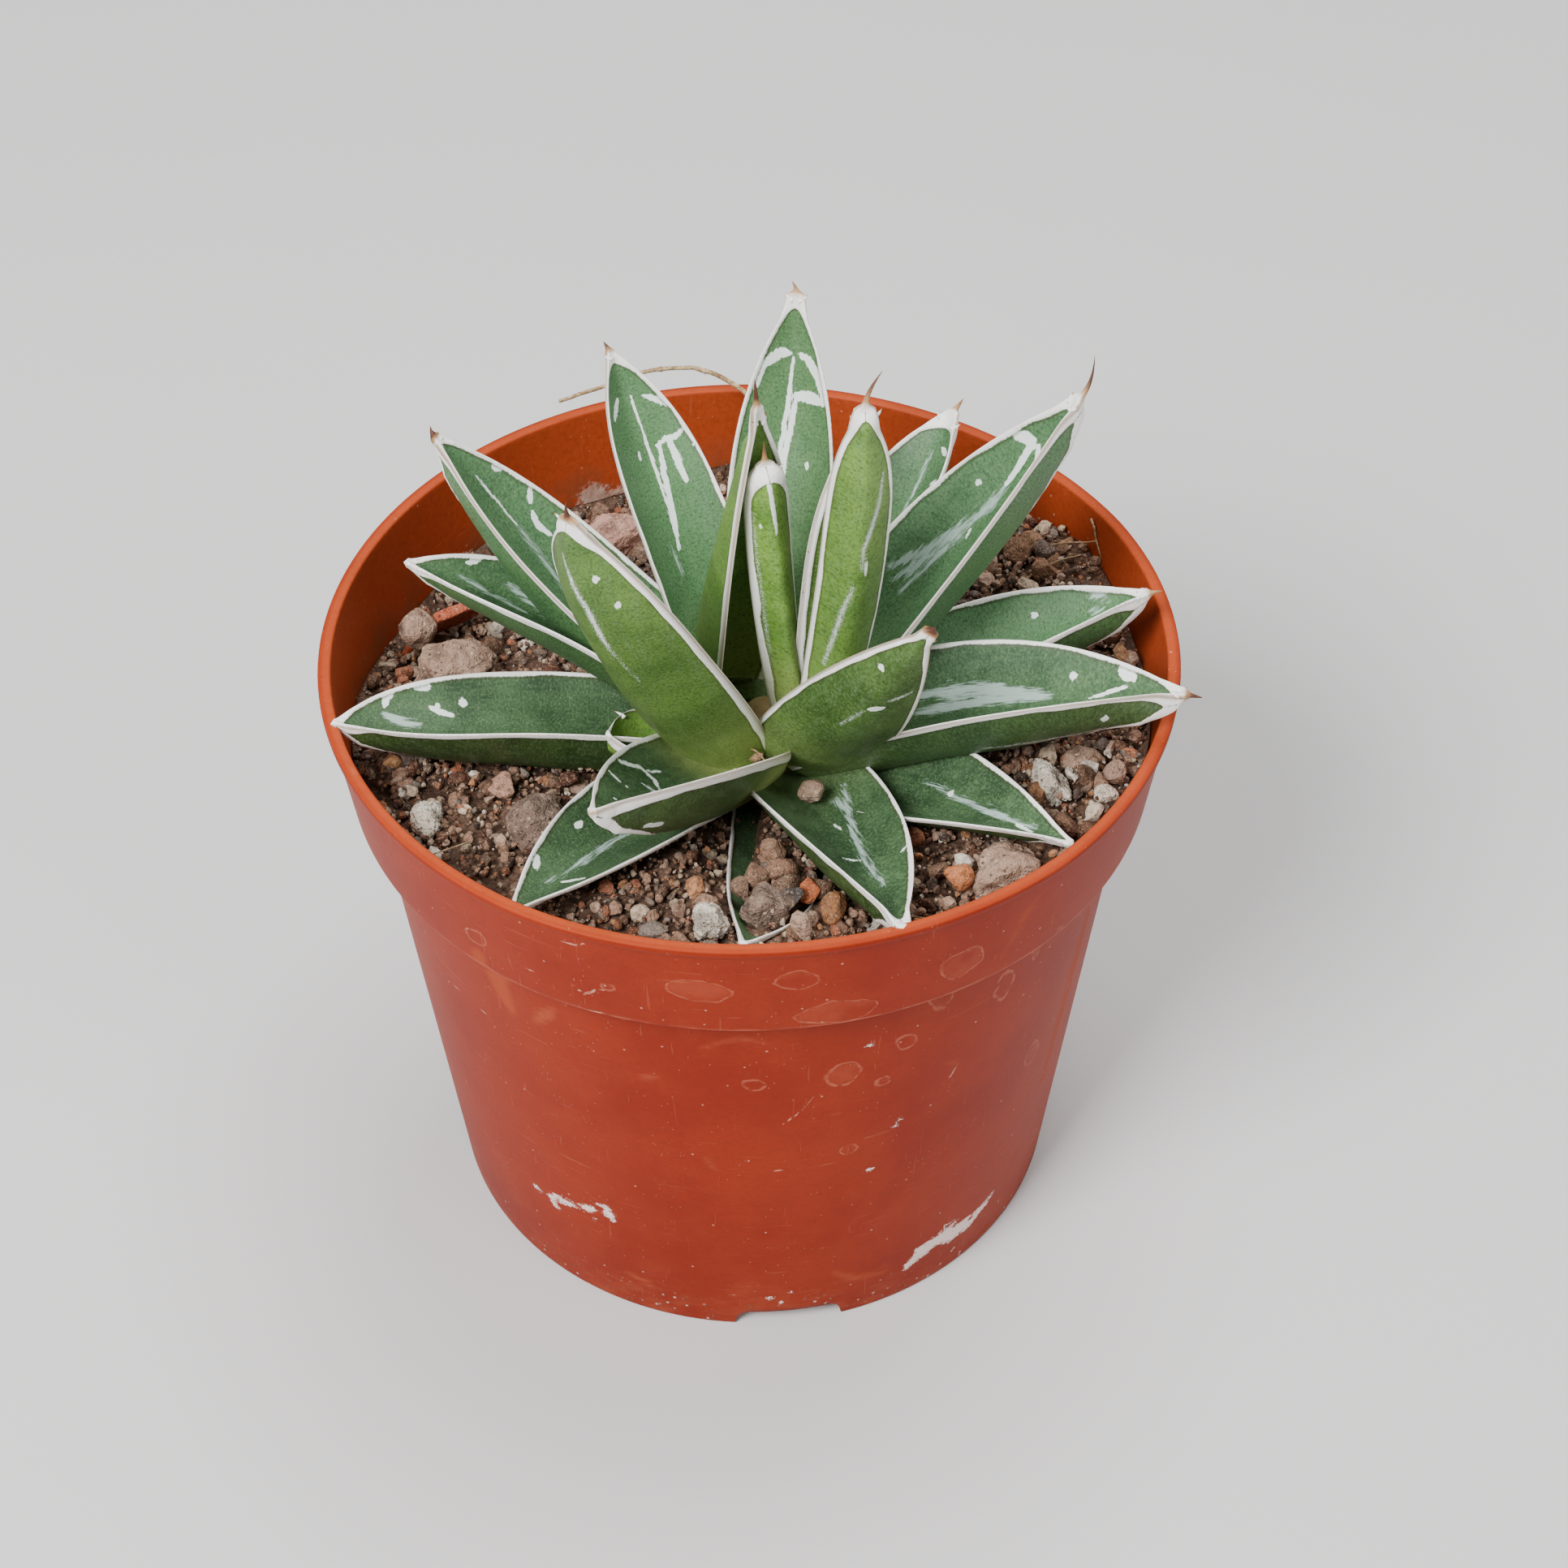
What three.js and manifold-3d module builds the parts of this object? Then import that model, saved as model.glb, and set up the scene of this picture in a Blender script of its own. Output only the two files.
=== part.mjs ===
// A small white-edged agave in a round terracotta-coloured plastic nursery pot.
// Millimetres, +Z up. The origin is on the pot's axis, in the plane that its foot stands on.
// Headings are degrees from +X towards +Y; a heading of 270 points to the front.
import * as THREE from 'three';
import { mergeVertices } from 'three/addons/utils/BufferGeometryUtils.js';
import Module from 'manifold-3d';

const wasm = await Module();
wasm.setup();

// ---------------------------------------------------------------- driving dimensions

const GAP = 0.32;                 // what stays free between two pieces that lie against each other
const MERGE = 0.001;              // points nearer than this are one point
const POT = {
  height: 95.5, rimRadius: 60, footRadius: 46.1, bodyTopRadius: 54.4,
  collarDepth: 18, collarTopRadius: 59.4, collarFootRadius: 57.2,
  lipHeight: 1.1, lipWidth: 1.8, wall: 1.3,
  footHeight: 3.3, floor: 1.6, segments: 60,
};
const NOTCH = { width: 16, count: 4, heading: 6 };             // openings under the foot ring
const DRAIN = { radius: 4, ring: 33, count: 8, sides: 14 };    // holes through the floor
const SOIL = { depthBelowRim: 10.5, rings: 8, segments: 44 };
// Broad swells and dips of the soil: place, reach and height.
const SWELLS = [
  { x: 45, y: 25, reach: 11, rise: 5.0 },
  { x: -42, y: 18, reach: 20, rise: -6.5 },
  { x: -18, y: 44, reach: 20, rise: -5.5 },
  { x: 5, y: -50, reach: 22, rise: 3.5 },
  { x: 46, y: -20, reach: 16, rise: 2.0 },
  { x: -46, y: -24, reach: 14, rise: 1.5 },
];
const CROWN = { x: 2, y: -8, z: POT.height - 12 };             // where the leaves spring from
const STEM = [[0, -13], [5, -13], [7.5, -7], [8.5, -2.5], [7.2, 0.6], [4.2, 3.4], [2.6, 6.6], [0, 7]];
const LEAF = { stations: 11, spineRadius: 0.45, spineRoot: 0.5, capHalfWidth: 0.8, capDepth: 1.1 };

// Each leaf: heading and rise at its base, how far both turn along it, length and width of the
// blade, where it is widest, how blunt its outline is, roll and twist about the midrib, how deep
// the channel is at base and tip as a part of the half width, thickness, and where it springs
// from the crown (out from the middle, up from the crown's plane). Innermost leaves come first.
const LEAVES = {
  bud_leaf_front: {
    heading: 325, turn: -2.9, rise: 98.7, bend: -6.8, length: 42.2, width: 6.3,
    base: 0.75, widest: 0.74, blunt: 5.3, roll: 32.3, twist: 3, channel: [0.9, 0.6], thick: 2.4,
    out: 4, up: 7.7, spine: 3.6,
  },
  bud_leaf_rear: {
    heading: 148, turn: -3.4, rise: 100.5, bend: -13.9, length: 52, width: 14.6,
    base: 0.75, widest: 0.28, blunt: 2.3, roll: 2.5, twist: 2.7, channel: [0.88, 0.4], thick: 3.1,
    out: 3.8, up: 6.4, spine: 4.5,
  },
  leaf_inner_right: {
    heading: 5, turn: -3.6, rise: 85.7, bend: -2.9, length: 44.7, width: 11.4,
    base: 0.75, widest: 0.47, blunt: 3.7, roll: 26.8, twist: 8.7, channel: [0.5, 0.5], thick: 3,
    out: 5.5, up: 6, spine: 3,
  },
  leaf_upright_right: {
    heading: 329.5, turn: -1, rise: 77.4, bend: 12.3, length: 57.8, width: 8.8,
    base: 0.75, widest: 0.53, blunt: 4.6, roll: 55.8, twist: -3, channel: [0.22, 0.5], thick: 3.4,
    out: 8.2, up: 6.8, spine: 5,
  },
  leaf_front_left_raised: {
    heading: 216, turn: -0.2, rise: 61.7, bend: 7.6, length: 56.1, width: 20.2,
    base: 0.72, widest: 0.43, blunt: 3.8, roll: -32.1, twist: 20.2, channel: [0.3, 0.42], thick: 3.5,
    out: 6.5, up: 4, spine: 3,
  },
  leaf_front_right_raised: {
    heading: 310, turn: -1.4, rise: 56.1, bend: 2.4, length: 46.9, width: 17.4,
    base: 0.8, widest: 0.15, blunt: 1.9, roll: 42.9, twist: 17.1, channel: [0.15, 0.55], thick: 1.7,
    out: 7.4, up: 3.4, spine: 1.5,
  },
  leaf_back: {
    heading: 83, turn: -3.7, rise: 66.3, bend: -10.6, length: 57.4, width: 14.8,
    base: 0.75, widest: 0.41, blunt: 2.8, roll: 0.2, twist: 0.1, channel: [0.25, 0.55], thick: 4,
    out: 4.4, up: 3.5, spine: 1.8,
  },
  leaf_right_back: {
    heading: 20, turn: -7, rise: 57.6, bend: -15.5, length: 61.1, width: 18.4,
    base: 0.75, widest: 0.34, blunt: 2.6, roll: -0.8, twist: 7.5, channel: [0.28, 0.8], thick: 5.4,
    out: 4.2, up: 3.7, spine: 5.5,
  },
  leaf_left_long: {
    heading: 158, turn: 1.4, rise: 37.2, bend: 4.9, length: 56.5, width: 18.6,
    base: 0.8, widest: 0.33, blunt: 3.1, roll: -7.8, twist: -2.9, channel: [0.68, 0.4], thick: 5.1,
    out: 3.8, up: 5.4, spine: 1.4,
  },
  leaf_back_left: {
    heading: 118, turn: 3.7, rise: 54.7, bend: -18.2, length: 54.2, width: 15.4,
    base: 0.75, widest: 0.42, blunt: 3.6, roll: -9.7, twist: -6, channel: [0.25, 0.55], thick: 4,
    out: 4.4, up: 2.5, spine: 1.6,
  },
  leaf_back_right: {
    heading: 56, turn: -7.8, rise: 46.8, bend: -20.3, length: 50.7, width: 15.1,
    base: 0.75, widest: 0.41, blunt: 4.5, roll: 19.9, twist: 0, channel: [0.25, 0.55], thick: 4,
    out: 3.7, up: 1.2, spine: 2.6,
  },
  leaf_right: {
    heading: 350, turn: -3, rise: 38, bend: -43, length: 55.5, width: 20.7,
    base: 0.78, widest: 0.34, blunt: 2.7, roll: 0.7, twist: 15.9, channel: [0.46, 0.66], thick: 5.9,
    out: 4.7, up: 3.4, spine: 3.2,
  },
  leaf_right_behind: {
    heading: 7, turn: -7, rise: 37, bend: -25, length: 54.4, width: 17.5,
    base: 0.75, widest: 0.45, blunt: 2.4, roll: 1.2, twist: 10.7, channel: [0.25, 0.85], thick: 4.7,
    out: 4, up: 2.2, spine: 2.2,
  },
  leaf_front_left_folded: {
    heading: 243, turn: -1.5, rise: 38, bend: -17.5, length: 51.2, width: 18.1,
    base: 0.73, widest: 0.36, blunt: 2.2, roll: -5.7, twist: -7.3, channel: [0.46, 0.68], thick: 5.1,
    out: 2.4, up: 3.1, spine: 1.4,
  },
  leaf_left_short: {
    heading: 204, turn: 3.3, rise: 26.3, bend: 3.7, length: 22.1, width: 11.8,
    base: 0.75, widest: 0.59, blunt: 2.2, roll: 4.2, twist: 3.1, channel: [0.25, 0.55], thick: 3.4,
    out: 3.9, up: 1.1, spine: 1.4,
  },
  leaf_left: {
    heading: 183, turn: 11, rise: 19.5, bend: -20, length: 54, width: 17.2,
    base: 0.77, widest: 0.49, blunt: 3.6, roll: -10.1, twist: -2.9, channel: [0.66, 0.52], thick: 5.3,
    out: 4.9, up: 4.3, spine: 1.4,
  },
  leaf_left_behind: {
    heading: 165, turn: 8, rise: 50, bend: -45, length: 52.6, width: 14.7,
    base: 0.75, widest: 0.46, blunt: 3.5, roll: -10, twist: -1.9, channel: [0.32, 0.5], thick: 4.1,
    out: 4.8, up: 1.4, spine: 1.4,
  },
  leaf_front: {
    heading: 295, turn: -11.5, rise: 22, bend: -19, length: 46, width: 18.7,
    base: 0.75, widest: 0.28, blunt: 2.2, roll: 5.9, twist: 14.8, channel: [0.31, 0.74], thick: 3.7,
    out: 3.5, up: 1.8, spine: 1.4,
  },
  leaf_front_left_low: {
    heading: 227.5, turn: 3.5, rise: 25, bend: -32, length: 48.8, width: 16.2,
    base: 0.75, widest: 0.3, blunt: 2.7, roll: 1.5, twist: -0.4, channel: [0.25, 0.55], thick: 3.6,
    out: 3, up: -0.6, spine: 1.4,
  },
  leaf_front_right_low: {
    heading: 323.5, turn: -3.5, rise: 32, bend: -33, length: 47.2, width: 17.3,
    base: 0.75, widest: 0.42, blunt: 1.6, roll: -2.3, twist: 2.4, channel: [0.25, 0.55], thick: 3.6,
    out: 4.5, up: -2, spine: 1.4,
  },
  leaf_front_buried: {
    heading: 280, turn: -20, rise: 0, bend: 18, length: 42.8, width: 13,
    base: 0.75, widest: 0.45, blunt: 2.1, roll: 4, twist: -2, channel: [0.25, 0.5], thick: 3.2,
    out: 3.6, up: -2.2, spine: 1.4,
  },
};

// Loose pieces on the soil: middle (z is from the rim's plane), half sizes, turn, roughness, colour.
const STONES = {
  stone_left: {
    at: [-42.5, 10, -13.6], half: [6, 5.2, 4.6], turn: 20, rough: 0.09, colour: 0x8a7463,
  },
  stone_left_small: {
    at: [-48.3, 16.5, -11.6], half: [3, 2.8, 3], turn: 50, rough: 0.1, colour: 0x927b66,
  },
  stone_front_left: {
    at: [-28.9, -26.5, -8.6], half: [4.6, 4.2, 3.6], turn: 75, rough: 0.08, colour: 0x6e6058,
  },
  pumice_left: {
    at: [-43.9, -25.9, -8.8], half: [2.1, 2.9, 2.3], turn: 10, rough: 0.16, colour: 0xc9bfae,
  },
  pumice_right: {
    at: [41, -20.6, -8.4], half: [2.1, 4.2, 2.2], turn: 20, rough: 0.16, colour: 0xd2c8b8,
  },
  stone_right: {
    at: [45.6, -15.2, -9.4], half: [2.9, 2.8, 2.5], turn: 0, rough: 0.1, colour: 0xa08772,
  },
  stone_front_right: {
    at: [33.8, -37.6, -8.2], half: [4.8, 4.1, 3.4], turn: 30, rough: 0.1, colour: 0x9a8370,
  },
  clump_front: {
    at: [1.6, -45, -6.8], half: [3.3, 3.2, 2.8], turn: 40, rough: 0.14, colour: 0x8d6f58,
  },
  pumice_front: {
    at: [-5.7, -48.1, -6], half: [2.5, 2.4, 2.2], turn: 80, rough: 0.15, colour: 0xd8cfc0,
  },
  stone_axil: {
    at: [8.1, -22.6, -7.4], half: [2, 1.7, 1.6], turn: 15, rough: 0.1, colour: 0x8c6a58,
  },
  lump_back_left: {
    at: [-20.9, 41, -14.6], half: [5.6, 4, 3.6], turn: 25, rough: 0.12, colour: 0xa9806c,
  },
};
const SHARD = { at: [-43, 20.5, -12.2], size: [8.6, 1.6, 7.4], turn: 32, lean: 34, colour: 0xb0583c };
// A dry stalk that springs from the soil at the back and arches over the rim, from the rim's plane.
const STALK = {
  radius: 0.42, sides: 6, steps: 26,
  path: [[9.6, 30.4, -14.5], [8.5, 33.5, -8.6], [6, 41, -0.5], [1.2, 49.2, 4.6], [-5.6, 54.4, 6.2],
    [-9.4, 55.4, 6.3], [-15.4, 55.4, 5.6], [-21.8, 53.6, 4.2], [-28.3, 51.6, 3.2]],
};

const COLOUR = {
  pot: 0xb0431f, soil: 0x6b5040, stem: 0x8fa052, leaf: 0x3f6e3a, youngLeaf: 0x5f8f35, stalk: 0xc9ab83,
};

// ---------------------------------------------------------------- small helpers

const degrees = (angle) => angle * Math.PI / 180;
const clamp = (value, low, high) => Math.min(high, Math.max(low, value));
const direction = (heading, rise) => new THREE.Vector3(
  Math.cos(degrees(rise)) * Math.cos(degrees(heading)),
  Math.cos(degrees(rise)) * Math.sin(degrees(heading)),
  Math.sin(degrees(rise)),
);

function geometryOf(points, triangles) {
  const geometry = new THREE.BufferGeometry();
  const numbers = points.flatMap((p) => [p.x, p.y, p.z]);
  geometry.setAttribute('position', new THREE.Float32BufferAttribute(numbers, 3));
  geometry.setIndex(triangles.flat());
  return geometry;
}

// Rings of points, each with the same count, skinned to one closed body.
// A ring may be a single point, which closes that end; otherwise a fan does.
function skinRings(rings) {
  const points = [];
  const starts = rings.map((ring) => { const start = points.length; points.push(...ring); return start; });
  const triangles = [];
  for (let i = 0; i + 1 < rings.length; i += 1) {
    const [a, b] = [starts[i], starts[i + 1]];
    const count = Math.max(rings[i].length, rings[i + 1].length);
    for (let j = 0; j < count; j += 1) {
      const k = (j + 1) % count;
      if (rings[i].length === 1) triangles.push([a, b + k, b + j]);
      else if (rings[i + 1].length === 1) triangles.push([a + j, a + k, b]);
      else triangles.push([a + j, a + k, b + k], [a + j, b + k, b + j]);
    }
  }
  const first = rings[0].length;
  const last = rings[rings.length - 1].length;
  for (let j = 1; j + 1 < first; j += 1) triangles.push([0, j + 1, j]);
  for (let j = 1; j + 1 < last; j += 1) {
    const start = starts[rings.length - 1];
    triangles.push([start, start + j, start + j + 1]);
  }
  return geometryOf(points, triangles);
}

function solidOf(geometry) {
  const bare = geometry.clone();
  for (const name of Object.keys(bare.attributes)) if (name !== 'position') bare.deleteAttribute(name);
  const merged = mergeVertices(bare, MERGE);
  const vertProperties = new Float32Array(merged.attributes.position.array);
  const triVerts = new Uint32Array(merged.index.array);
  let volume = 0;
  const at = (i) => new THREE.Vector3().fromArray(vertProperties, 3 * i);
  for (let i = 0; i < triVerts.length; i += 3) {
    volume += at(triVerts[i]).dot(at(triVerts[i + 1]).cross(at(triVerts[i + 2])));
  }
  if (volume < 0) for (let i = 0; i < triVerts.length; i += 3) triVerts.subarray(i, i + 3).reverse();
  return new wasm.Manifold(new wasm.Mesh({ numProp: 3, vertProperties, triVerts }));
}

function geometryOfSolid(solid) {
  const mesh = solid.getMesh();
  const geometry = new THREE.BufferGeometry();
  geometry.setAttribute('position', new THREE.BufferAttribute(new Float32Array(mesh.vertProperties), 3));
  geometry.setIndex(new THREE.BufferAttribute(new Uint32Array(mesh.triVerts), 1));
  return geometry;
}

// The same body with every face moved out by a distance. A point's move solves, by least squares,
// that it lies the distance above each face around it, and is limited where faces meet sharply.
function swollen(geometry, distance) {
  const mesh = solidOf(geometry).getMesh();
  const at = (i) => new THREE.Vector3().fromArray(mesh.vertProperties, 3 * i);
  const triangles = [];
  for (let i = 0; i < mesh.triVerts.length; i += 3) triangles.push([...mesh.triVerts.slice(i, i + 3)]);
  const normals = Array.from({ length: mesh.vertProperties.length / 3 }, () => []);
  for (const [a, b, c] of triangles) {
    const normal = at(b).sub(at(a)).cross(at(c).sub(at(a))).normalize();
    for (const corner of [a, b, c]) normals[corner].push(normal);
  }
  const points = normals.map((list, i) => {
    const sum = (pick) => list.reduce((total, normal) => total + pick(normal), 0);
    const [xx, yy, zz] = ['x', 'y', 'z'].map((k) => sum((n) => n[k] * n[k]) + 0.01);
    const [xy, xz, yz] = [sum((n) => n.x * n.y), sum((n) => n.x * n.z), sum((n) => n.y * n.z)];
    const system = new THREE.Matrix3().set(xx, xy, xz, xy, yy, yz, xz, yz, zz).invert();
    const move = new THREE.Vector3(sum((n) => n.x), sum((n) => n.y), sum((n) => n.z));
    return at(i).add(move.applyMatrix3(system).multiplyScalar(distance).clampLength(0, 4 * distance));
  });
  return solidOf(geometryOf(points, triangles));
}

// The largest separate body of a solid. Merging near points can split off slivers, so it is
// merged and split once more.
function largestBody(solid) {
  const larger = (one, other) => (other.volume() > one.volume() ? other : one);
  const largest = (whole) => whole.decompose().reduce(larger);
  return largest(solidOf(geometryOfSolid(largest(solid))));
}

function seededRandom(seed) {
  let state = seed;
  return () => {
    state = (state * 1664525 + 1013904223) % 4294967296;
    return state / 4294967296;
  };
}

// ---------------------------------------------------------------- pot

const bodyRadius = (z) => POT.footRadius
  + (POT.bodyTopRadius - POT.footRadius) * z / (POT.height - POT.collarDepth);
const collarFoot = POT.height - POT.collarDepth;
const lipUnder = POT.height - POT.lipHeight;
const floorUnder = POT.footHeight;
const floorTop = POT.footHeight + POT.floor;

function potGeometry() {
  const inner = POT.rimRadius - POT.lipWidth;
  const outline = [
    [0, floorUnder], [POT.footRadius - 2.2, floorUnder], [POT.footRadius - 1.6, 0],
    [POT.footRadius, 0], [bodyRadius(collarFoot), collarFoot], [POT.collarFootRadius, collarFoot],
    [POT.collarTopRadius, lipUnder], [POT.rimRadius, lipUnder], [POT.rimRadius, POT.height],
    [inner, POT.height], [inner - 0.2, lipUnder], [POT.collarFootRadius - POT.wall, collarFoot + POT.wall],
    [bodyRadius(collarFoot) - POT.wall, collarFoot + POT.wall], [bodyRadius(floorTop) - POT.wall, floorTop],
    [0, floorTop],
  ].map(([radius, z]) => new THREE.Vector2(radius, z));
  const shell = new THREE.LatheGeometry(outline, POT.segments).rotateX(Math.PI / 2);
  let solid = solidOf(shell);
  for (let i = 0; i < NOTCH.count; i += 1) {
    const heading = degrees(NOTCH.heading + 270 + i * 360 / NOTCH.count);
    const box = new THREE.BoxGeometry(8, NOTCH.width, 2 * POT.footHeight);
    box.translate(POT.footRadius, 0, 0).rotateZ(heading);
    solid = solid.subtract(solidOf(box));
  }
  for (let i = 0; i < DRAIN.count; i += 1) {
    const heading = degrees(NOTCH.heading + (i + 0.5) * 360 / DRAIN.count);
    const drill = new THREE.CylinderGeometry(DRAIN.radius, DRAIN.radius, 4 * POT.floor, DRAIN.sides);
    drill.rotateX(Math.PI / 2);
    drill.translate(DRAIN.ring, 0, (floorUnder + floorTop) / 2).rotateZ(heading);
    solid = solid.subtract(solidOf(drill));
  }
  return geometryOfSolid(solid);
}

// ---------------------------------------------------------------- soil

function soilHeight(x, y) {
  let z = POT.height - SOIL.depthBelowRim;
  for (const swell of SWELLS) {
    const distance = Math.hypot(x - swell.x, y - swell.y) / swell.reach;
    z += swell.rise * Math.exp(-distance * distance);
  }
  return z;
}

// The inside of the pot at a height, less the gap.
function soilRadius(z) {
  const ledge = collarFoot + POT.wall;
  const share = (z - ledge) / (lipUnder - ledge);
  const collar = POT.collarFootRadius - POT.wall + share * (POT.rimRadius - POT.lipWidth - 0.2
    - POT.collarFootRadius + POT.wall);
  return (z >= ledge ? collar : bodyRadius(z) - POT.wall) - GAP;
}

function soilGeometry() {
  // Chords of the many-sided pot run a little inside its circle, so the soil does too.
  const inside = (z) => soilRadius(z) * Math.cos(Math.PI / POT.segments);
  const flatRing = (z, radius = inside(z)) => Array.from({ length: SOIL.segments }, (_, i) => {
    const angle = i * 2 * Math.PI / SOIL.segments;
    return new THREE.Vector3(radius * Math.cos(angle), radius * Math.sin(angle), z);
  });
  const topRing = (share) => Array.from({ length: SOIL.segments }, (_, i) => {
    const angle = i * 2 * Math.PI / SOIL.segments;
    const [east, north] = [Math.cos(angle), Math.sin(angle)];
    const edge = inside(soilHeight(POT.bodyTopRadius * east, POT.bodyTopRadius * north) - 0.5);
    const [x, y] = [share * edge * east, share * edge * north];
    return new THREE.Vector3(x, y, soilHeight(x, y));
  });
  const bottom = floorTop + GAP;
  const ledge = collarFoot + POT.wall;
  const rings = [[new THREE.Vector3(0, 0, bottom)], flatRing(bottom), flatRing(ledge - 0.2),
    flatRing(ledge + GAP, inside(ledge - 0.2)), flatRing(ledge + GAP, inside(ledge + GAP))];
  for (let i = SOIL.rings; i >= 1; i -= 1) rings.push(topRing(i / SOIL.rings));
  rings.push([new THREE.Vector3(0, 0, soilHeight(0, 0))]);
  return skinRings(rings);
}

// ---------------------------------------------------------------- stem and leaves

function stemGeometry() {
  const outline = STEM.map(([radius, z]) => new THREE.Vector2(radius, z));
  return new THREE.LatheGeometry(outline, 16).rotateX(Math.PI / 2).translate(CROWN.x, CROWN.y, CROWN.z);
}

// A leaf is skinned over cross-sections along its midrib. The midrib starts at the crown and is
// the running sum of its direction, which turns evenly from base to tip. A section is a channel
// above, as deep as its share of the half width, and a keeled belly below.
function leafGeometry(leaf) {
  const steps = 48;
  const midrib = [new THREE.Vector3(
    CROWN.x + leaf.out * Math.cos(degrees(leaf.heading)),
    CROWN.y + leaf.out * Math.sin(degrees(leaf.heading)),
    CROWN.z + leaf.up,
  )];
  for (let i = 0; i < steps; i += 1) {
    const u = (i + 0.5) / steps;
    const along = direction(leaf.heading + leaf.turn * u, leaf.rise + leaf.bend * u);
    midrib.push(midrib[i].clone().addScaledVector(along, leaf.length / steps));
  }
  const rings = [];
  let last;
  for (let i = 0; i < LEAF.stations; i += 1) {
    const u = Math.sin(Math.PI / 2 * i / (LEAF.stations - 1)) ** 1.25;
    const place = clamp(u * steps, 0, steps - 1e-6);
    const middle = midrib[Math.floor(place)].clone().lerp(midrib[Math.floor(place) + 1], place % 1);
    const heading = leaf.heading + leaf.turn * u;
    const along = direction(heading, leaf.rise + leaf.bend * u);
    const side = new THREE.Vector3(Math.sin(degrees(heading)), -Math.cos(degrees(heading)), 0);
    const up = side.clone().cross(along);
    const roll = degrees(leaf.roll + leaf.twist * u);
    const across = side.clone().multiplyScalar(Math.cos(roll)).addScaledVector(up, Math.sin(roll));
    const normal = up.clone().multiplyScalar(Math.cos(roll)).addScaledVector(side, -Math.sin(roll));
    const swell = 1 - (1 - leaf.base) * (1 - Math.min(u / leaf.widest, 1)) ** 2;
    const taper = 1 - clamp((u - leaf.widest) / (1 - leaf.widest), 0, 1) ** leaf.blunt;
    const half = Math.max(leaf.width / 2 * swell * taper, LEAF.capHalfWidth);
    const channel = (leaf.channel[0] + (leaf.channel[1] - leaf.channel[0]) * u) * half;
    const belly = Math.max(leaf.thick * (1 - 0.75 * u ** 2.5) * Math.min(1, 3 * taper), LEAF.capDepth);
    const keel = 2.4 - 1.1 * u;
    const above = [-1, -0.5, 0, 0.5, 1].map((v) => [v, -channel * (1 - Math.abs(v) ** 1.7)]);
    const below = [0.6, 0, -0.6].map((v) => [v,
      -channel * (1 - Math.abs(v) ** 1.7) - belly * (1 - Math.abs(v) ** keel)]);
    rings.push([...above, ...below].map(([v, depth]) => middle.clone()
      .addScaledVector(across, half * v).addScaledVector(normal, depth)));
    last = { across, normal };
  }
  // The spine: a small ring in the last section's plane, then its point.
  const end = direction(leaf.heading + leaf.turn, leaf.rise + leaf.bend);
  const tip = midrib[steps];
  const root = tip.clone().addScaledVector(end, LEAF.spineRoot)
    .addScaledVector(last.normal, -LEAF.spineRadius);
  rings.push(rings[0].map((_, i) => root.clone()
    .addScaledVector(last.across, -LEAF.spineRadius * Math.cos(i * Math.PI / 4))
    .addScaledVector(last.normal, LEAF.spineRadius * Math.sin(i * Math.PI / 4))));
  rings.push([tip.clone().addScaledVector(end, leaf.spine)]);
  return skinRings(rings);
}

// ---------------------------------------------------------------- loose pieces

function stoneGeometry(stone, seed) {
  const random = seededRandom(seed);
  const merged = new THREE.IcosahedronGeometry(1, 1);
  merged.deleteAttribute('normal');
  merged.deleteAttribute('uv');
  const ball = mergeVertices(merged, 1e-4);
  const position = ball.attributes.position;
  for (let i = 0; i < position.count; i += 1) {
    const size = 1 + stone.rough * (2 * random() - 1);
    position.setXYZ(i, position.getX(i) * size, position.getY(i) * size, position.getZ(i) * size);
  }
  const [x, y, z] = stone.at;
  return ball.scale(...stone.half).rotateZ(degrees(stone.turn)).translate(x, y, POT.height + z);
}

function shardGeometry() {
  const [x, y, z] = SHARD.at;
  return new THREE.BoxGeometry(...SHARD.size).rotateX(degrees(SHARD.lean)).rotateZ(degrees(SHARD.turn))
    .translate(x, y, POT.height + z);
}

function stalkGeometry() {
  const curve = new THREE.CatmullRomCurve3(
    STALK.path.map(([x, y, z]) => new THREE.Vector3(x, y, POT.height + z)), false, 'centripetal');
  const section = new THREE.Shape(Array.from({ length: STALK.sides }, (_, i) => {
    const angle = i * 2 * Math.PI / STALK.sides;
    return new THREE.Vector2(STALK.radius * Math.cos(angle), STALK.radius * Math.sin(angle));
  }));
  return new THREE.ExtrudeGeometry(section, { steps: STALK.steps, extrudePath: curve });
}

// ---------------------------------------------------------------- assembly

const potted = new THREE.Group();

function addPiece(name, geometry, colour, roughness) {
  geometry.computeVertexNormals();
  const material = new THREE.MeshStandardMaterial({ color: colour, roughness, metalness: 0 });
  const mesh = new THREE.Mesh(geometry, material);
  mesh.name = name;
  potted.add(mesh);
}

// Each piece is trimmed by the swollen shapes of those before it, so that neighbours lie a gap
// apart where they crowd together at the crown and in the soil.
const placed = [];
function fitted(geometry) {
  const solid = solidOf(geometry);
  const own = solid.boundingBox();
  const near = placed.filter(({ box }) => [0, 1, 2].every((k) => box.min[k] <= own.max[k]
    && own.min[k] <= box.max[k]));
  const trimmed = near.reduce((rest, { solid: other }) => rest.subtract(other), solid);
  return geometryOfSolid(largestBody(trimmed));
}

function place(name, geometry, colour, roughness) {
  const piece = fitted(geometry);
  const shape = swollen(geometry, GAP);
  placed.push({ solid: shape, box: shape.boundingBox() });
  addPiece(name, piece, colour, roughness);
}

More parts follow.
